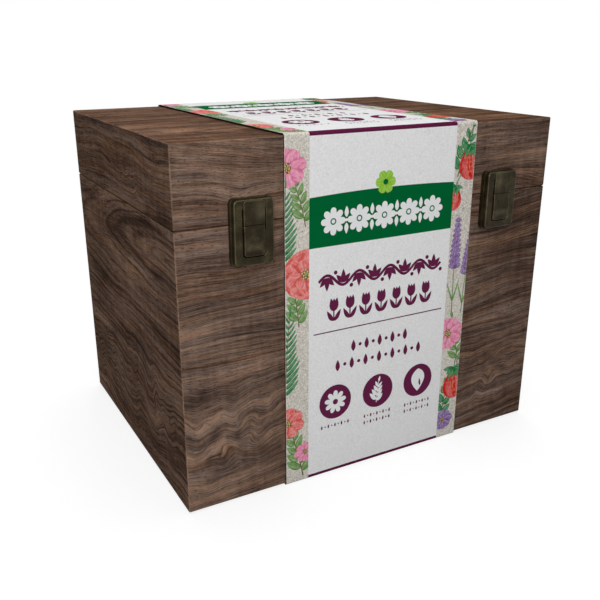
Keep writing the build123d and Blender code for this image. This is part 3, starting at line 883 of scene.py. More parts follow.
def mark_rim(piece: Piece, number: int) -> None:
    """Writes which faces are a rim or a rounding into a colour attribute, for the painted rim
    highlights, and frees the slot.

    Args:
        piece: The bevelled piece.
        number: The slot of the bevel's own faces.
    """
    rubbed = piece.data.color_attributes.new("rubbed", "FLOAT_COLOR", "CORNER")
    for face in piece.data.polygons:
        rounded = max(abs(part) for part in face.normal) < FACING
        share = 1.0 if face.material_index == number or rounded else 0.0
        for corner in face.loop_indices:
            rubbed.data[corner].color = (share, share, share, 1.0)
        face.material_index = 0


def refine(node: str, bevel: float, crease: float = 30.0) -> Piece:
    """Copies a rigid CAD node as one clean mesh with softened edges.

    Args:
        node: The CAD node.
        bevel: Width of the softened edges, or 0 to leave them sharp.
        crease: Edges that turn by more than this many degrees stay creases.

    Returns:
        The piece that stands for the node.
    """
    piece = new_piece(f"{node}_dressed", frame["nodes"][node].data.copy())
    pick(piece)
    bpy.ops.object.mode_set(mode="EDIT")
    bpy.ops.mesh.select_all(action="SELECT")
    bpy.ops.mesh.remove_doubles(threshold=SAME_PLACE)
    bpy.ops.mesh.dissolve_limited(angle_limit=SAME_PLANE)
    bpy.ops.object.mode_set(mode="OBJECT")
    angle = math.radians(crease)
    if bevel:
        piece.data.materials.append(None)
        rim = len(piece.data.materials) - 1
        settings = {"width": bevel, "segments": 3, "limit_method": "ANGLE", "angle_limit": angle}
        add_modifier(piece, "BEVEL", material=rim, **settings)
        mark_rim(piece, rim)
    pick(piece)
    bpy.ops.object.shade_smooth_by_angle(angle=angle)
    if bevel:
        add_modifier(piece, "WEIGHTED_NORMAL", keep_sharp=True)
    return piece


def stand_for(piece: Piece, node: str, material: Material) -> None:
    """Paints a piece, puts it on its node's body and hides that node.

    Args:
        piece: The piece.
        node: The CAD node that it stands for.
        material: Its material.
    """
    paint(piece, material)
    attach(piece, frame["nodes"][node]["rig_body"])
    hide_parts(node)
    log.info("%s stands for %s", piece.name, node)


def trim(piece: Piece, at: Vector, normal: Vector) -> None:
    """Cuts away the side of a flat piece that the normal points to.

    Args:
        piece: The piece.
        at: A point of the cut.
        normal: The cut's normal.
    """
    pick(piece)
    bpy.ops.object.mode_set(mode="EDIT")
    bpy.ops.mesh.select_all(action="SELECT")
    bpy.ops.mesh.bisect(plane_co=at, plane_no=normal, clear_outer=True)
    bpy.ops.object.mode_set(mode="OBJECT")


# ---------------- the case


@dataclass
class WoodenCase:
    """The walnut boards of body and lid, their dividers and the floor."""

    first_seed: float = 2.0
    seed_step: float = 5.3  # between one board's place in the log and the next one's
    figures: Mapping[str, Figure] = field(
        default_factory=lambda: {
            "body_front": Figure(
                Heart(232.0, 30.0, 0.05),
                (
                    Burl(-112.0, 50.0, 36.0, 26.0, 48.0, 0.030, 0.6),
                    Burl(106.0, 36.0, 34.0, 24.0, 44.0, 0.030, 0.5),
                ),
                0.04,
                Tone(-0.020, 0.33, -0.20),
            ),
            "body_left": Figure(
                Heart(160.0, 16.0, 0.14, 0.16),
                (Burl(-34.0, 48.0, 66.0, 30.0, 52.0), Burl(86.0, 44.0, 26.0, 24.0, 48.0)),
                -0.03,
                Tone(0.010),
            ),
            "body_right": Figure(
                Heart(118.0, 10.0, -0.14), (Burl(-60.0, 60.0, 44.0, 30.0, 44.0),), -0.05
            ),
            "body_back": Figure(Heart(96.0, 22.0, 0.10), (Burl(-96.0, 50.0, 36.0, 26.0, 40.0),)),
            "lid_front": Figure(
                burls=(Burl(-96.0, 196.0, 20.0, 8.0, 16.0),), cast=Tone(-0.014, 0.13, -0.17)
            ),
            "lid_left": Figure(
                Heart(150.0, 20.0, 0.05), (Burl(-30.0, 198.0, 46.0, 10.0, 18.0),), 0.0, Tone(-0.010)
            ),
            "lid_panel": Figure(
                Heart(-30.0, 16.0, -0.09),
                (Burl(-108.0, -66.0, 26.0, 18.0, 34.0, 0.03, 0.9),),
                0.0,
                Tone(-0.052, 0.0, 0.36, (1.0, 0.935, 0.86)),
            ),
        }
    )

    def dress(self) -> None:
        """Gives every board its own piece of walnut."""
        walls = ("front", "back", "left", "right")
        body = [f"body_{wall}" for wall in walls]
        lid = [f"lid_{wall}" for wall in walls] + ["lid_panel"]
        seed = self.first_seed
        for names in (body, lid, ["divider_1", "divider_2", "floor_panel"]):
            boxes = [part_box(name) for name in names]
            low = Vector(min(box[0][axis] for box in boxes) for axis in range(3))
            high = Vector(max(box[1][axis] for box in boxes) for axis in range(3))
            for name in names:
                seed += self.seed_step
                figure = self.figures.get(name, Figure())
                board = Walnut(f"walnut_{name}", self.grain(name), seed, low, high, figure)
                dress(name, board.material())

    @staticmethod
    def grain(name: str) -> Grain:
        """Tells from a board's name how it lies.

        Args:
            name: The board's node.

        Returns:
            The axes of its grain.
        """
        if name.endswith(("left", "right")) or name.startswith("divider"):
            return Grain.SIDE
        return Grain.TOP if name in ("lid_panel", "floor_panel") else Grain.FRONT


@dataclass
class Fittings:
    """The toggle latches, the hinges and their screws."""

    soft_edge: float = 0.25 * MM
    screw_edge: float = 0.10 * MM

    def dress(self) -> None:
        """Softens the fittings' edges and gives them their antique bronze, with painted highlights
        on rims, lever tips and hasp corners.
        """
        bronze = AntiqueBronze().material()
        for node in sorted(frame["nodes"]):
            if node.startswith("latch_") or node.endswith("_leaf"):
                thin = node.endswith(("pivots", "rivets"))
                piece = refine(node, self.screw_edge if thin else self.soft_edge)
                stand_for(piece, node, bronze)
            elif node.endswith(("screws", "pin")):
                dress(node, bronze)


# ---------------- the sleeve and its print


class Shape(Enum):
    """Outlines of printed shapes."""

    LEAF = "leaf"
    NEEDLE = "needle"
    PETAL = "petal"
    FRUIT = "fruit"
    DISC = "disc"

    def half_width(self, share: float) -> float:
        """Gives the half-width, at most 0.5, at a share of the shape's length.

        Args:
            share: The share, from 0 at the foot to 1 at the tip.

        Returns:
            The half-width of a shape one unit wide.
        """
        if self is Shape.LEAF:
            return 0.5 * math.sin(math.pi * share**0.8) ** 0.9
        if self is Shape.NEEDLE:
            return 0.5 * math.sin(math.pi * share**0.6) ** 0.5
        if self is Shape.PETAL:
            broad = 0.20 + 0.80 * math.sin(math.pi / 2 * min(share / 0.66, 1.0))
            return 0.5 * broad * math.sqrt(max(0.0, 1 - (max(share - 0.66, 0.0) / 0.34) ** 2.6))
        if self is Shape.FRUIT:
            return 0.5 * math.sqrt(max(0.0, math.sin(math.pi * share**1.35)))
        return 0.5 * math.sqrt(max(0.0, 1 - (2 * share - 1) ** 2))


@dataclass
class PrintBlock:
    """Flat inked shapes, gathered on one sheet of paper that lies in local X and Y."""

    name: str
    rows: int = 16  # how finely a shape is divided along its length
    tip: float = 0.004  # a shape's least half-width, as a share of its width
    clear: float = 0.02 * MM  # the lowest ink's height over the card
    layer_step: float = 0.006 * MM
    order_step: float = 0.0003 * MM  # later shapes lie over earlier ones
    shapes: list[Piece] = field(default_factory=list)
    patterns: dict[Shape, bpy.types.Mesh] = field(default_factory=dict)

    def height(self, layer: int) -> float:
        """Gives the next shape's height over the card."""
        return self.clear + layer * self.layer_step + len(self.shapes) * self.order_step

    def pattern(self, shape: Shape) -> bpy.types.Mesh:
        """Models a shape once: a grid whose rows are drawn in to its outline.

        Args:
            shape: The outline.

        Returns:
            A mesh one unit long, from the origin along +Y.
        """
        if shape not in self.patterns:
            deselect_all()
            bpy.ops.mesh.primitive_grid_add(x_subdivisions=4, y_subdivisions=self.rows, size=1.0)
            mesh = bpy.context.object.data
            for vertex in mesh.vertices:
                share = (1 - math.cos(math.pi * min(max(vertex.co.y + 0.5, 0.0), 1.0))) / 2
                vertex.co.x *= 2 * max(shape.half_width(share), self.tip)
                vertex.co.y = share
            self.patterns[shape] = mesh.copy()
            bpy.data.objects.remove(bpy.context.object)
        return self.patterns[shape]

    def stamp(
        self,
        shape: Shape,
        at: Point,
        size: Point,
        ink: Ink,
        turn: float = 0.0,
        layer: int = 0,
        bend: float = 0.0,
    ) -> None:
        """Prints one shape. Lengths are millimetres.

        Args:
            shape: Its outline.
            at: Where its foot lies.
            size: Its width and length.
            ink: Its colour.
            turn: Turns it from +Y towards -X, in radians.
            layer: Its place in the stack of inks.
            bend: How far its tip leans sideways, as a share of its length.
        """
        mesh = self.pattern(shape).copy()
        for vertex in mesh.vertices:
            vertex.co.x += bend * size[1] / size[0] * vertex.co.y**2
        grow = Matrix.Diagonal((size[0] * MM, size[1] * MM, 1.0, 1.0))
        move = Matrix.Translation((at[0] * MM, at[1] * MM, self.height(layer)))
        mesh.transform(move @ Matrix.Rotation(turn, 4, "Z") @ grow)
        self._gather(new_piece(self.name, mesh), ink)

    def _gather(self, piece: Piece, ink: Ink) -> None:
        """Writes an ink's colour into a shape and adds it to the print.

        Args:
            piece: The shape.
            ink: Its ink.
        """
        for entry in piece.data.color_attributes.new("ink", "FLOAT_COLOR", "POINT").data:
            entry.color = ink.value
        self.shapes.append(piece)

    def disc(self, centre: Point, radius: float, ink: Ink, layer: int = 0) -> None:
        """Prints a round spot."""
        foot = (centre[0], centre[1] - radius)
        self.stamp(Shape.DISC, foot, (2 * radius, 2 * radius), ink, layer=layer)

    def ribbon(
        self,
        path: Callable[[float], Point],
        width: float,
        ink: Ink,
        layer: int = 0,
        steps: int = 24,
    ) -> None:
        """Prints a line of even width along a path.

        Args:
            path: Gives a place for each share from 0 to 1.
            width: The line's width.
            ink: Its colour.
            layer: Its place in the stack of inks.
            steps: How many pieces the path is drawn in.
        """
        deselect_all()
        bpy.ops.mesh.primitive_grid_add(x_subdivisions=1, y_subdivisions=steps, size=1.0)
        level = self.height(layer)
        for vertex in bpy.context.object.data.vertices:
            share = min(max(vertex.co.y + 0.5, 0.0), 1.0)
            here, ahead = Vector(path(share)), Vector(path(share + 0.002))
            side = (ahead - here).orthogonal().normalized()
            spot = here - side * (math.copysign(width / 2, vertex.co.x))
            vertex.co = (spot.x * MM, spot.y * MM, level)
        self._gather(bpy.context.object, ink)


class FlowerPrint(PrintBlock):
    """A print block with garden motifs. All lengths are millimetres."""

    def stem_path(
        self, foot: Point, length: float, turn: float, sway: float
    ) -> Callable[[float], Point]:
        """Gives the curve of a stem.

        Args:
            foot: Where the stem starts.
            length: Its length.
            turn: Turns it from +Y towards -X, in radians.
            sway: How far its tip leans, as a share of its length.

        Returns:
            A function from a share of the length to a place.
        """
        spin = Matrix.Rotation(turn, 2)

        def path(share: float) -> Point:
            """Gives a place on the stem."""
            spot = spin @ Vector((sway * length * share**2, length * share))
            return foot[0] + spot.x, foot[1] + spot.y

        return path

    def daisy(
        self,
        centre: Point,
        radius: float,
        petals: int,
        ink: Ink,
        eye: Ink,
        layer: int,
        fullness: float,
        turn: float = 0.0,
        tilt: float = 1.0,
    ) -> None:
        """Draws a flower head of even petals.

        Args:
            centre: Its middle.
            radius: Its petals' reach.
            petals: How many petals it has.
            ink: The petals' colour.
            eye: The middle's colour.
            layer: Its place in the stack of inks.
            fullness: Petal width against an even share of the rim.
            turn: Turns the head, in radians.
            tilt: How far the head is seen from above, 1 for fully.
        """
        width = fullness * 2 * math.pi * radius * 0.62 / petals
        for number in range(petals):
            angle = turn + 2 * math.pi * number / petals
            reach = radius * (1 - (1 - tilt) * abs(math.cos(angle)))
            wide = width * (1 - (1 - tilt) * abs(math.sin(angle)))
            self.stamp(Shape.PETAL, centre, (wide, reach), ink, angle, layer + number % 3)
        self.disc(centre, radius * 0.24, eye, layer + 4)

    def stamens(self, centre: Point, radius: float, layer: int) -> None:
        """Draws a ring of pollen round a dark flower middle.

        Args:
            centre: The flower's middle.
            radius: The ring's reach.
            layer: Its place in the stack of inks.
        """
        grains = 11
        self.disc(centre, radius, Ink.SHADE, layer)
        for number in range(grains):
            angle = 2 * math.pi * number / grains
            reach = radius * (0.95 if number % 2 else 0.62)
            spot = (centre[0] + reach * math.cos(angle), centre[1] + reach * math.sin(angle))
            self.disc(spot, radius * 0.2, Ink.GOLD, layer + 1)
        self.disc(centre, radius * 0.4, Ink.MOSS, layer + 2)

    def cosmos(self, centre: Point, radius: float, ink: Ink, turn: float) -> None:
        """Draws an open flower of broad, streaked petals in two rings.

        Args:
            centre: Its middle.
            radius: Its petals' reach.
            ink: Its colour.
            turn: Turns it, in radians.
        """
        self.daisy(centre, radius, 8, ink, Ink.SHADE, 2, 1.45, turn, 0.86)
        self.daisy(centre, radius * 0.72, 7, ink, Ink.SHADE, 5, 1.2, turn + 0.4, 0.86)
        self.stamens(centre, radius * 0.19, 9)

    def poppy(self, centre: Point, radius: float, turn: float) -> None:
        """Draws a poppy: wide petals that lap over each other round a dark middle.

        Args:
            centre: Its middle.
            radius: Its petals' reach.
            turn: Turns it, in radians.
        """
        petals = 5
        for ring, share in enumerate((1.0, 0.86, 0.62)):
            size = (radius * share * 1.28, radius * share)
            for number in range(petals):
                angle = turn + ring * 0.6 + 2 * math.pi * number / petals
                layer = 1 + 3 * ring + number % 3
                self.stamp(Shape.PETAL, centre, size, Ink.CORAL, angle, layer)
        self.stamens(centre, radius * 0.2, 10)

    def sprig(
        self,
        foot: Point,
        length: float,
        pairs: int,
        leaf: Point,
        ink: Ink,
        turn: float,
        sway: float,
        layer: int = 0,
        stem: Ink = Ink.STEM,
        shape: Shape = Shape.LEAF,
    ) -> None:
        """Draws a stem with pairs of leaves and one at its tip.

        Args:
            foot: Where the stem starts.
            length: The stem's length.
            pairs: How many pairs of leaves it has.
            leaf: The leaves' width and length at the foot.
            ink: The leaves' colour.
            turn: Turns the sprig from +Y towards -X, in radians.
            sway: How far the stem's tip leans, as a share of its length.
            layer: Its place in the stack of inks.
            stem: The stem's colour.
            shape: The leaves' outline.
        """
        path = self.stem_path(foot, length, turn, sway)
        self.ribbon(path, max(0.5, leaf[0] * 0.14), stem, layer)
        for pair in range(pairs):
            share = 0.12 + 0.82 * pair / pairs
            scale = 1 - 0.62 * share**1.5
            lean = turn - 2 * sway * share
            for side in (-1, 1):
                long = leaf[1] * scale * (1 + 0.1 * math.sin(5.0 * pair + side))
                at = path(share + 0.03 * side)
                spread = lean + side * (1.0 - 0.3 * share)
                size = (leaf[0] * scale, long)
                self.stamp(shape, at, size, ink, spread, layer + 1 + pair % 2, 0.16 * side)
        tip = (leaf[0] * 0.5, leaf[1] * 0.55)
        self.stamp(shape, path(0.97), tip, ink, turn - 2 * sway, layer + 3)

    def spike(self, foot: Point, length: float, turn: float) -> None:
        """Draws a lavender spike: a thin stem with whorls of small buds over its upper half.

        Args:
            foot: Where the stem starts.
            length: Its length.
            turn: Turns it, in radians.
        """
        path = self.stem_path(foot, length, turn, 0.05)
        self.ribbon(path, 0.7, Ink.MOSS)
        for side in (-1, 1):
            self.stamp(Shape.NEEDLE, path(0.12), (1.4, 17.0), Ink.MOSS, turn + side * 0.35, 1)
        whorls = 10
        for whorl in range(whorls):
            at = path(0.46 + 0.52 * whorl / whorls)
            size = 6.2 - 3.2 * whorl / whorls
            for number, lean in enumerate((-1.1, 0.9, -0.5, 0.45, 0.0)):
                self.stamp(Shape.PETAL, at, (size * 0.5, size), Ink.LILAC, turn + lean, 1 + number)

    def strawberry(self, top: Point, length: float, turn: float) -> None:
        """Draws a strawberry that hangs from its calyx, with seeds and a leafy collar.

        Args:
            top: Where it hangs.
            length: Its length.
            turn: Turns it, in radians.
        """
        self.stamp(Shape.FRUIT, top, (length * 0.86, length), Ink.BERRY, math.pi + turn, 2)
        spin = Matrix.Rotation(turn, 2)
        for row in range(5):
            for column in range(-2, 3):
                down = length * (0.20 + 0.145 * row)
                across = length * 0.16 * (column + 0.5 * (row % 2)) * (1 - 0.12 * row)
                if abs(across) <= length * (0.35 - 0.055 * row):
                    spot = spin @ Vector((across, -down))
                    seed = (top[0] + spot.x, top[1] + spot.y)
                    self.stamp(Shape.LEAF, seed, (0.6, 1.15), Ink.GOLD, turn, 4)
        for number in range(7):
            lean = turn + math.pi / 2 + math.pi * number / 6
            size = (length * 0.15, length * (0.40 - 0.08 * (number % 2)))
            self.stamp(Shape.LEAF, top, size, Ink.FERN, lean, 5 + number % 3, 0.1)
        self.stamp(Shape.NEEDLE, top, (0.9, length * 0.7), Ink.FERN, turn - 0.2, 5, 0.1)

    def tulip(self, foot: Point, height: float, ink: Ink) -> None:
        """Draws a folk tulip: three petals on a short stem with two curved leaves.

        Args:
            foot: Where the stem starts.
            height: Its size.
            ink: Its colour.
        """
        bloom = (foot[0], foot[1] + height * 0.42)
        self.ribbon(lambda share: (foot[0], foot[1] + height * 0.5 * share), 1.0, ink, 0, 4)
        for side in (-1, 1):
            petal, leaf = (height * 0.26, height * 0.58), (height * 0.20, height * 0.56)
            self.stamp(Shape.LEAF, bloom, petal, ink, -side * 0.42, 1, side * -0.16)
            self.stamp(Shape.LEAF, foot, leaf, ink, -side * 0.85, 1, side * -0.25)
        self.stamp(Shape.LEAF, bloom, (height * 0.26, height * 0.55), ink, 0.0, 2)

    def garland(self, level: float, half: float, waves: int, reach: float) -> None:
        """Draws a waving plum garland with leaves and a berry in each bend.

        Args:
            level: The height of its middle line.
            half: Half its length.
            waves: How many waves it makes.
            reach: How far it swings to each side.
        """

        def path(share: float) -> Point:
            """Gives a place on the garland's stem."""
            return half * (2 * share - 1), level + reach * math.sin(2 * math.pi * waves * share)

        self.ribbon(path, 1.9, Ink.PLUM, 0, 96)
        bends = 2 * waves
        for bend in range(bends):
            up = 1 if bend % 2 == 0 else -1
            share = (bend + 0.5) / bends
            foot = (path(share)[0], level - up * reach * 0.55 + up * 4.4)
            for lean in (-0.75, 0.0, 0.75):
                size = (3.4, 7.6 if lean else 9.0)
                turn = (math.pi if up > 0 else 0.0) + lean
                self.stamp(Shape.LEAF, foot, size, Ink.PLUM, turn, 1)
            berry = (path(share + 0.16 / bends)[0] + 4.3, level + up * (reach + 1.2))
            self.disc(berry, 1.35, Ink.PLUM, 1)

    def chain(self, middle: Point, half: float, count: int, leaf: Point, berry: float) -> None:
        """Draws a row of upright plum leaves with a berry between each two.

        Args:
            middle: The row's middle.
            half: Half its length.
            count: How many leaves and berries it has.
            leaf: A leaf's width and length.
            berry: A berry's radius.
        """
        for number in range(count):
            x = middle[0] + half * (2 * number / (count - 1) - 1)
            if number % 2:
                self.disc((x, middle[1]), berry, Ink.PLUM)
            else:
                self.stamp(Shape.LEAF, (x, middle[1] - leaf[1] / 2), leaf, Ink.PLUM)


@dataclass
class CardSleeve:
    """The card band round the box and everything printed on it. Millimetres."""

    layout: Layout = field(default_factory=Layout)
    daisy_level: float = 177.0
    daisy_pitch: float = 19.0
    crown_level: float = 198.0
    garland_level: float = 139.0
    tulip_level: float = 111.8
    tulip_pitch: float = 12.2
    disc_radius: float = 12.4
    disc_pitch: float = 34.3
    disc_level: float = 53.4

    def dress(self) -> None:
        """Finishes the card and lays the print on its front, its back and its top."""
        low, slit_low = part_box("sleeve_body")
        slit_high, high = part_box("sleeve_lid")
        card = SleeveCard(low, high, self.layout).material()
        for node in ("sleeve_body", "sleeve_lid"):
            stand_for(refine(node, 0.0, 40.0), node, card)
        flat = self.design()
        paint(flat, PrintedShape().material())
        self._lay(flat, low, high, (slit_low.z + slit_high.z) / 2)

    def design(self) -> Piece:
        """Draws the whole print once, flat, with its foot on the X axis.

        Returns:
            The flat print.
        """
        label = FlowerPrint("label_print")
        self._label(label)
        pieces = [join_up(label.name, label.shapes)]
        outer, inner = self.layout.strip_half - 0.25, self.layout.label_half
        for name, side, draw in (("left", -1, self._left_strip), ("right", 1, self._right_strip)):
            block = FlowerPrint(f"{name}_strip_print")
            draw(block)
            strip = join_up(block.name, block.shapes)
            for edge, way in ((outer, side), (inner, -side)):
                trim(strip, Vector((side * edge * MM, 0, 0)), Vector((way, 0, 0)))
            pieces.append(strip)
        return join_up("flat_print", pieces)

    def _label(self, draw: FlowerPrint) -> None:
        """Draws the ornaments of the pale middle panel.

        Args:
            draw: The block they are drawn on.
        """
        level, pitch = self.daisy_level, self.daisy_pitch
        for column in range(-2, 3):
            centre = (column * pitch, level)
            draw.daisy(centre, 8.8, 8, Ink.PAPER, Ink.BOTTLE, 0, 1.0)
            draw.disc(centre, 1.3, Ink.PAPER, 6)
        for column in range(-2, 2):
            x = (column + 0.5) * pitch
            for turn, lift in ((0.0, 1.8), (math.pi, -1.8)):
                draw.stamp(Shape.LEAF, (x, level + lift), (3.0, 7.0), Ink.PAPER, turn, 1)
            draw.disc((x, level), 1.0, Ink.PAPER, 1)
        crown = (0.0, self.crown_level)
        draw.daisy(crown, 7.6, 6, Ink.LIME, Ink.BOTTLE, 1, 1.15, math.pi / 6)
        draw.garland(self.garland_level, 48.0, 4, 3.8)
        for column in range(-3, 4):
            draw.tulip((column * self.tulip_pitch, self.tulip_level), 15.6, Ink.PLUM)
        for row, half, count in ((91.5, 21.0, 9), (79.5, 33.0, 13)):
            draw.chain((0.0, row), half, count, (3.4, 8.0), 1.2)
        self._discs(draw)

    def _discs(self, draw: FlowerPrint) -> None:
        """Draws the three plum discs: a daisy, a leafy sprig and a water drop.

        Args:
            draw: The block they are drawn on.
        """
        level, right = self.disc_level, self.disc_pitch
        for column in (-1, 0, 1):
            x = column * self.disc_pitch
            draw.disc((x, level), self.disc_radius, Ink.PLUM)
            for row in range(2 if column >= 0 else 1):
                draw.chain((x, level - 17.2 - 5.0 * row), 10.4, 9, (1.3, 3.0), 0.5)
        draw.daisy((-right, level), 8.4, 9, Ink.PAPER, Ink.PLUM, 1, 0.95)
        foot = (-1.0, level - 8.8)
        draw.sprig(foot, 16.0, 4, (3.2, 7.6), Ink.PAPER, 0.0, 0.10, 1, Ink.PAPER)
        drop = level + 9.0
        draw.stamp(Shape.LEAF, (right, drop), (11.5, 17.5), Ink.PAPER, math.pi, 1)
        draw.stamp(Shape.LEAF, (right + 2.2, drop - 13.6), (1.6, 6.0), Ink.PLUM, 0.25, 2, 0.1)

    def _left_strip(self, draw: FlowerPrint) -> None:
        """Draws pink and coral flowers over ferny green on the left strip.

        Args:
            draw: The block they are drawn on.
        """
        thin = Shape.NEEDLE
        draw.sprig((-57.5, 176.0), 40.0, 6, (4.6, 10.0), Ink.MOSS, 0.20, -0.10)
        draw.cosmos((-70.0, 212.0), 13.5, Ink.ROSE, 0.2)
        draw.sprig((-73.0, 152.0), 50.0, 11, (2.6, 13.0), Ink.FERN, -0.06, -0.02, 0, Ink.FERN, thin)
        draw.sprig((-62.0, 112.0), 34.0, 5, (5.2, 11.0), Ink.MOSS, 0.10, -0.05)
        draw.poppy((-57.0, 146.0), 16.0, 0.3)
        draw.sprig((-72.0, 62.0), 60.0, 12, (3.0, 14.0), Ink.FERN, -0.02, 0.04, 0, Ink.STEM, thin)
        draw.sprig((-59.0, 4.0), 46.0, 6, (6.0, 12.5), Ink.MOSS, 0.20, -0.06)
        draw.cosmos((-70.5, 46.0), 13.0, Ink.CORAL, 0.5)
        draw.cosmos((-57.5, 22.0), 8.5, Ink.ROSE, 0.1)

    def _right_strip(self, draw: FlowerPrint) -> None:
        """Draws strawberries, lavender and pink flowers on the right strip.

        Args:
            draw: The block they are drawn on.
        """
        draw.sprig((58.0, 196.0), 34.0, 4, (6.4, 12.0), Ink.FERN, -0.22, 0.10)
        draw.strawberry((67.0, 216.0), 23.0, 0.12)
        draw.strawberry((57.0, 190.0), 17.0, -0.2)
        draw.spike((61.0, 100.0), 70.0, 0.04)
        draw.spike((69.5, 98.0), 62.0, -0.03)
        draw.sprig((70.0, 58.0), 40.0, 5, (5.0, 10.5), Ink.MOSS, 0.16, -0.05)
        draw.cosmos((59.0, 84.0), 14.0, Ink.ROSE, 0.3)
        draw.sprig((57.5, 18.0), 34.0, 4, (6.0, 11.0), Ink.FERN, -0.12, 0.05)
        draw.strawberry((67.0, 56.0), 25.0, 0.1)
        draw.cosmos((59.5, 15.0), 9.5, Ink.LILAC, 0.1)

    def _lay(self, flat: Piece, low: Vector, high: Vector, seam: float) -> None:
        """Lays the flat print on the sleeve.

        Args:
            flat: The flat print.
            low: The sleeve's lowest corner.
            high: The sleeve's highest corner.
            seam: The level where the front is slit.
        """
        turn_up = Matrix.Translation((0, low.y, 0)) @ Matrix.Rotation(math.pi / 2, 4, "X")
        turn_round = Matrix.Translation((0, high.y + low.y, 0)) @ Matrix.Rotation(math.pi, 4, "Z")
        turn_back = turn_round @ turn_up
        on_top = Matrix.Translation((0, -self.layout.top_shift * MM, high.z))
        up, down = Vector((0, 0, 1)), Vector((0, 0, -1))
        clear = Vector((0, self.layout.fold * MM, self.layout.fold * MM))
        cut = Vector((0, 0, seam))
        below, above = ((cut, up),), ((cut, down), (high - clear, up))
        across = ((low + clear, Vector((0, -1, 0))), (high - clear, Vector((0, 1, 0))))
        places = (
            ("front_print_lower", "case", turn_up, below),
            ("front_print_upper", "lid", turn_up, above),
            ("back_print_lower", "case", turn_back, below),
            ("back_print_upper", "lid", turn_back, above),
            ("top_print", "lid", on_top, across),
        )
        for name, body, place, cuts in places:
            piece = new_piece(name, flat.data.copy())
            piece.data.transform(place)
            for at, normal in cuts:
                trim(piece, at, normal)
            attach(piece, body)
            log.info("%s has %d faces", name, len(piece.data.polygons))
        bpy.data.objects.remove(flat)


# ---------------- what is kept inside


@dataclass
class Contents:
    """Index cards, notebook, plant labels and marker pen."""

    cards: int = 12
    rings: int = 16
    ring_wire: float = 0.55 * MM  # radius of the round wire
    plain_wire: float = 0.6 * MM  # half the plain rings' thickness

    def dress(self) -> None:
        """Gives everything inside its material and models the notebook's wire rings."""
        card = PlainStock("card_stock", srgb(206, 188, 158, INSIDE_LIT), 0.22)
        paper = srgb(222, 218, 204, INSIDE_LIT)
        kraft = srgb(150, 117, 82, INSIDE_LIT)
        birch = srgb(206, 172, 128, INSIDE_LIT)
        finishes = {
            "notebook_pages": PlainStock("notebook_paper", paper, 0.12, (0.4, 14.0, 0.4)),
            "notebook_covers": PlainStock("kraft_cover", kraft, 0.30),
            "plant_labels": PlainStock("label_wood", birch, 0.30, (1.2, 1.2, 0.06), 0.6),
            "pen_barrel": SatinPlastic("pen_plastic", srgb(70, 72, 74, INSIDE_LIT), 0.45),
            "pen_cap": SatinPlastic("pen_cap_plastic", srgb(28, 30, 32, INSIDE_LIT), 0.25),
        }
        stock = card.material()
        for number in range(1, self.cards + 1):
            dress(f"index_card_{number:02d}", stock)
        for node, finish in finishes.items():
            dress(node, finish.material())
        self._rings()

    def _rings(self) -> None:
        """Replaces the notebook's plain rings with round wire."""
        node = "notebook_coil"
        low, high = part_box(node)
        middle = (low + high) / 2
        step = (high.z - low.z - 2 * self.plain_wire) / (self.rings - 1)
        wires = []
        for number in range(self.rings):
            deselect_all()
            bpy.ops.mesh.primitive_torus_add(
                location=(middle.x, middle.y, low.z + self.plain_wire + number * step),
                major_radius=(high.x - low.x) / 2 - self.plain_wire,
                minor_radius=self.ring_wire,
                major_segments=32,
                minor_segments=8,
            )
            wires.append(bpy.context.object)
        coil = join_up("notebook_wire_rings", wires)
        bpy.ops.object.transform_apply(location=True, rotation=True, scale=True)
        bpy.ops.object.shade_smooth()
        wire = SatinPlastic("coil_wire", srgb(30, 31, 32, INSIDE_LIT), 0.3).material()
        stand_for(coil, node, wire)


# ---------------- studio


@dataclass(frozen=True)
class Lamp:
    """A soft square lamp that faces the box."""

    name: str
    at: tuple[float, float, float]
    side: float
    watts: float


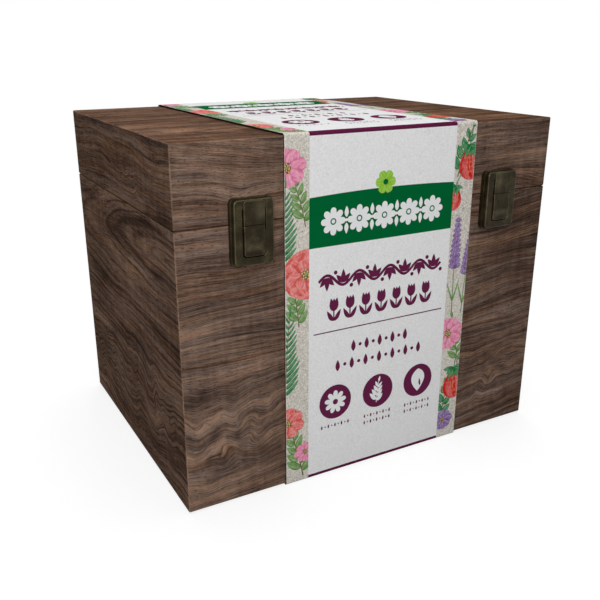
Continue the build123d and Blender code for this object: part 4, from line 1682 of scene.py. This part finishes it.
@dataclass
class Studio:
    """Camera, pale floor and soft lights."""

    eye: Vector = Vector((-0.27145, -0.48640, 0.28358))
    view: Vector = Vector((0.45781, 0.82378, -0.33436))
    aim: Vector = Vector((0, 0, 0.12))  # where the lamps point
    lens_mm: float = 44.59
    sensor_mm: float = 36.0
    ambient: float = 0.12
    floor_size: float = 12.0
    floor_grey: float = 0.3
    floor_glow: float = 0.76
    fade: Point = (0.4, 1.3)  # the floor turns white between these distances
    lamps: tuple[Lamp, ...] = (
        Lamp("key", (-0.46, -0.93, 0.53), 0.8, 8.2),
        Lamp("overhead", (0.1, 0.2, 1.9), 1.8, 25.4),
        Lamp("fill", (-1.7, -0.5, 0.7), 1.4, 0.3),
        Lamp("kicker", (2.0, -0.55, 0.34), 0.5, 3.0),
        Lamp("rear", (0.7, 1.7, 0.8), 1.0, 9.0),
    )

    def build(self) -> None:
        """Sets the stage."""
        bpy.context.scene.view_settings.view_transform = "Standard"
        self._camera()
        self._world()
        self._floor()
        self._lamps()

    def _camera(self) -> None:
        """Places the camera at the viewing angle."""
        deselect_all()
        bpy.ops.object.camera_add(location=self.eye)
        camera = bpy.context.object
        camera.rotation_euler = self.view.to_track_quat("-Z", "Y").to_euler()
        camera.data.lens = self.lens_mm
        camera.data.sensor_width = self.sensor_mm
        camera.data.clip_start = 0.01
        bpy.context.scene.camera = camera

    def _world(self) -> None:
        """Lights the scene softly from all round, and shows white to camera and gloss."""
        sheet = Sheet("studio", "worlds")
        bpy.context.scene.world = sheet.owner
        dim = sheet.add("ShaderNodeBackground", {}, {"Strength": self.ambient})
        plain = {"Color": (1.0, 1.0, 1.0, 1.0), "Strength": 1.0}
        white = sheet.add("ShaderNodeBackground", {}, plain)
        sky = sheet.add("ShaderNodeMixShader", {}, {0: self._seen(sheet), 1: dim, 2: white})
        sheet.add("ShaderNodeOutputWorld", {}, {"Surface": sky})

    def _floor(self) -> None:
        """Lays a pale floor that fades into the white surroundings."""
        deselect_all()
        bpy.ops.mesh.primitive_grid_add(x_subdivisions=8, y_subdivisions=8, size=self.floor_size)
        floor = bpy.context.object
        floor.name = "studio_floor"
        paint(floor, self._floor_material())

    def _floor_material(self) -> Material:
        """Builds a pale floor that keeps the object's shadow.

        Returns:
            The finished floor.
        """
        sheet = Sheet("studio_floor")
        x, y, _ = sheet.split(sheet.add("ShaderNodeTexCoord", output="Object"))
        seen, grey = self._seen(sheet), self.floor_grey
        diffuse = sheet.add("ShaderNodeBsdfDiffuse", {}, {"Color": (grey, grey, grey, 1.0)})
        glow = sheet.add("ShaderNodeEmission", {}, {"Strength": self.floor_glow})
        white = sheet.add("ShaderNodeEmission", {}, {"Strength": 1.0})
        lit = sheet.add("ShaderNodeAddShader", {}, {0: diffuse, 1: glow})
        near = sheet.add("ShaderNodeMixShader", {}, {0: seen, 1: diffuse, 2: lit})
        away = seen * x.far(y).rise(*self.fade)
        floor = sheet.add("ShaderNodeMixShader", {}, {0: away, 1: near, 2: white})
        sheet.add("ShaderNodeOutputMaterial", {}, {"Surface": floor})
        return sheet.owner

    @staticmethod
    def _seen(sheet: Sheet) -> Signal:
        """Gives 1 for rays from the camera and those that gloss and glass send on."""
        path = sheet.add("ShaderNodeLightPath", output="Is Camera Ray")
        return path.most(path.output("Is Glossy Ray")).most(path.output("Is Transmission Ray"))

    def _lamps(self) -> None:
        """Hangs the lamps."""
        for lamp in self.lamps:
            deselect_all()
            bpy.ops.object.light_add(type="AREA", location=lamp.at)
            light = bpy.context.object
            light.name = f"{lamp.name}_lamp"
            light.data.size = lamp.side
            light.data.energy = lamp.watts
            way = self.aim - Vector(lamp.at)
            light.rotation_euler = way.to_track_quat("-Z", "Y").to_euler()


def main() -> None:
    """Builds and dresses every part of the box."""
    logging.basicConfig(level=logging.INFO, format="%(name)s: %(message)s")
    Studio().build()
    WoodenCase().dress()
    Fittings().dress()
    CardSleeve().dress()
    Contents().dress()


if __name__ == "__main__":
    main()
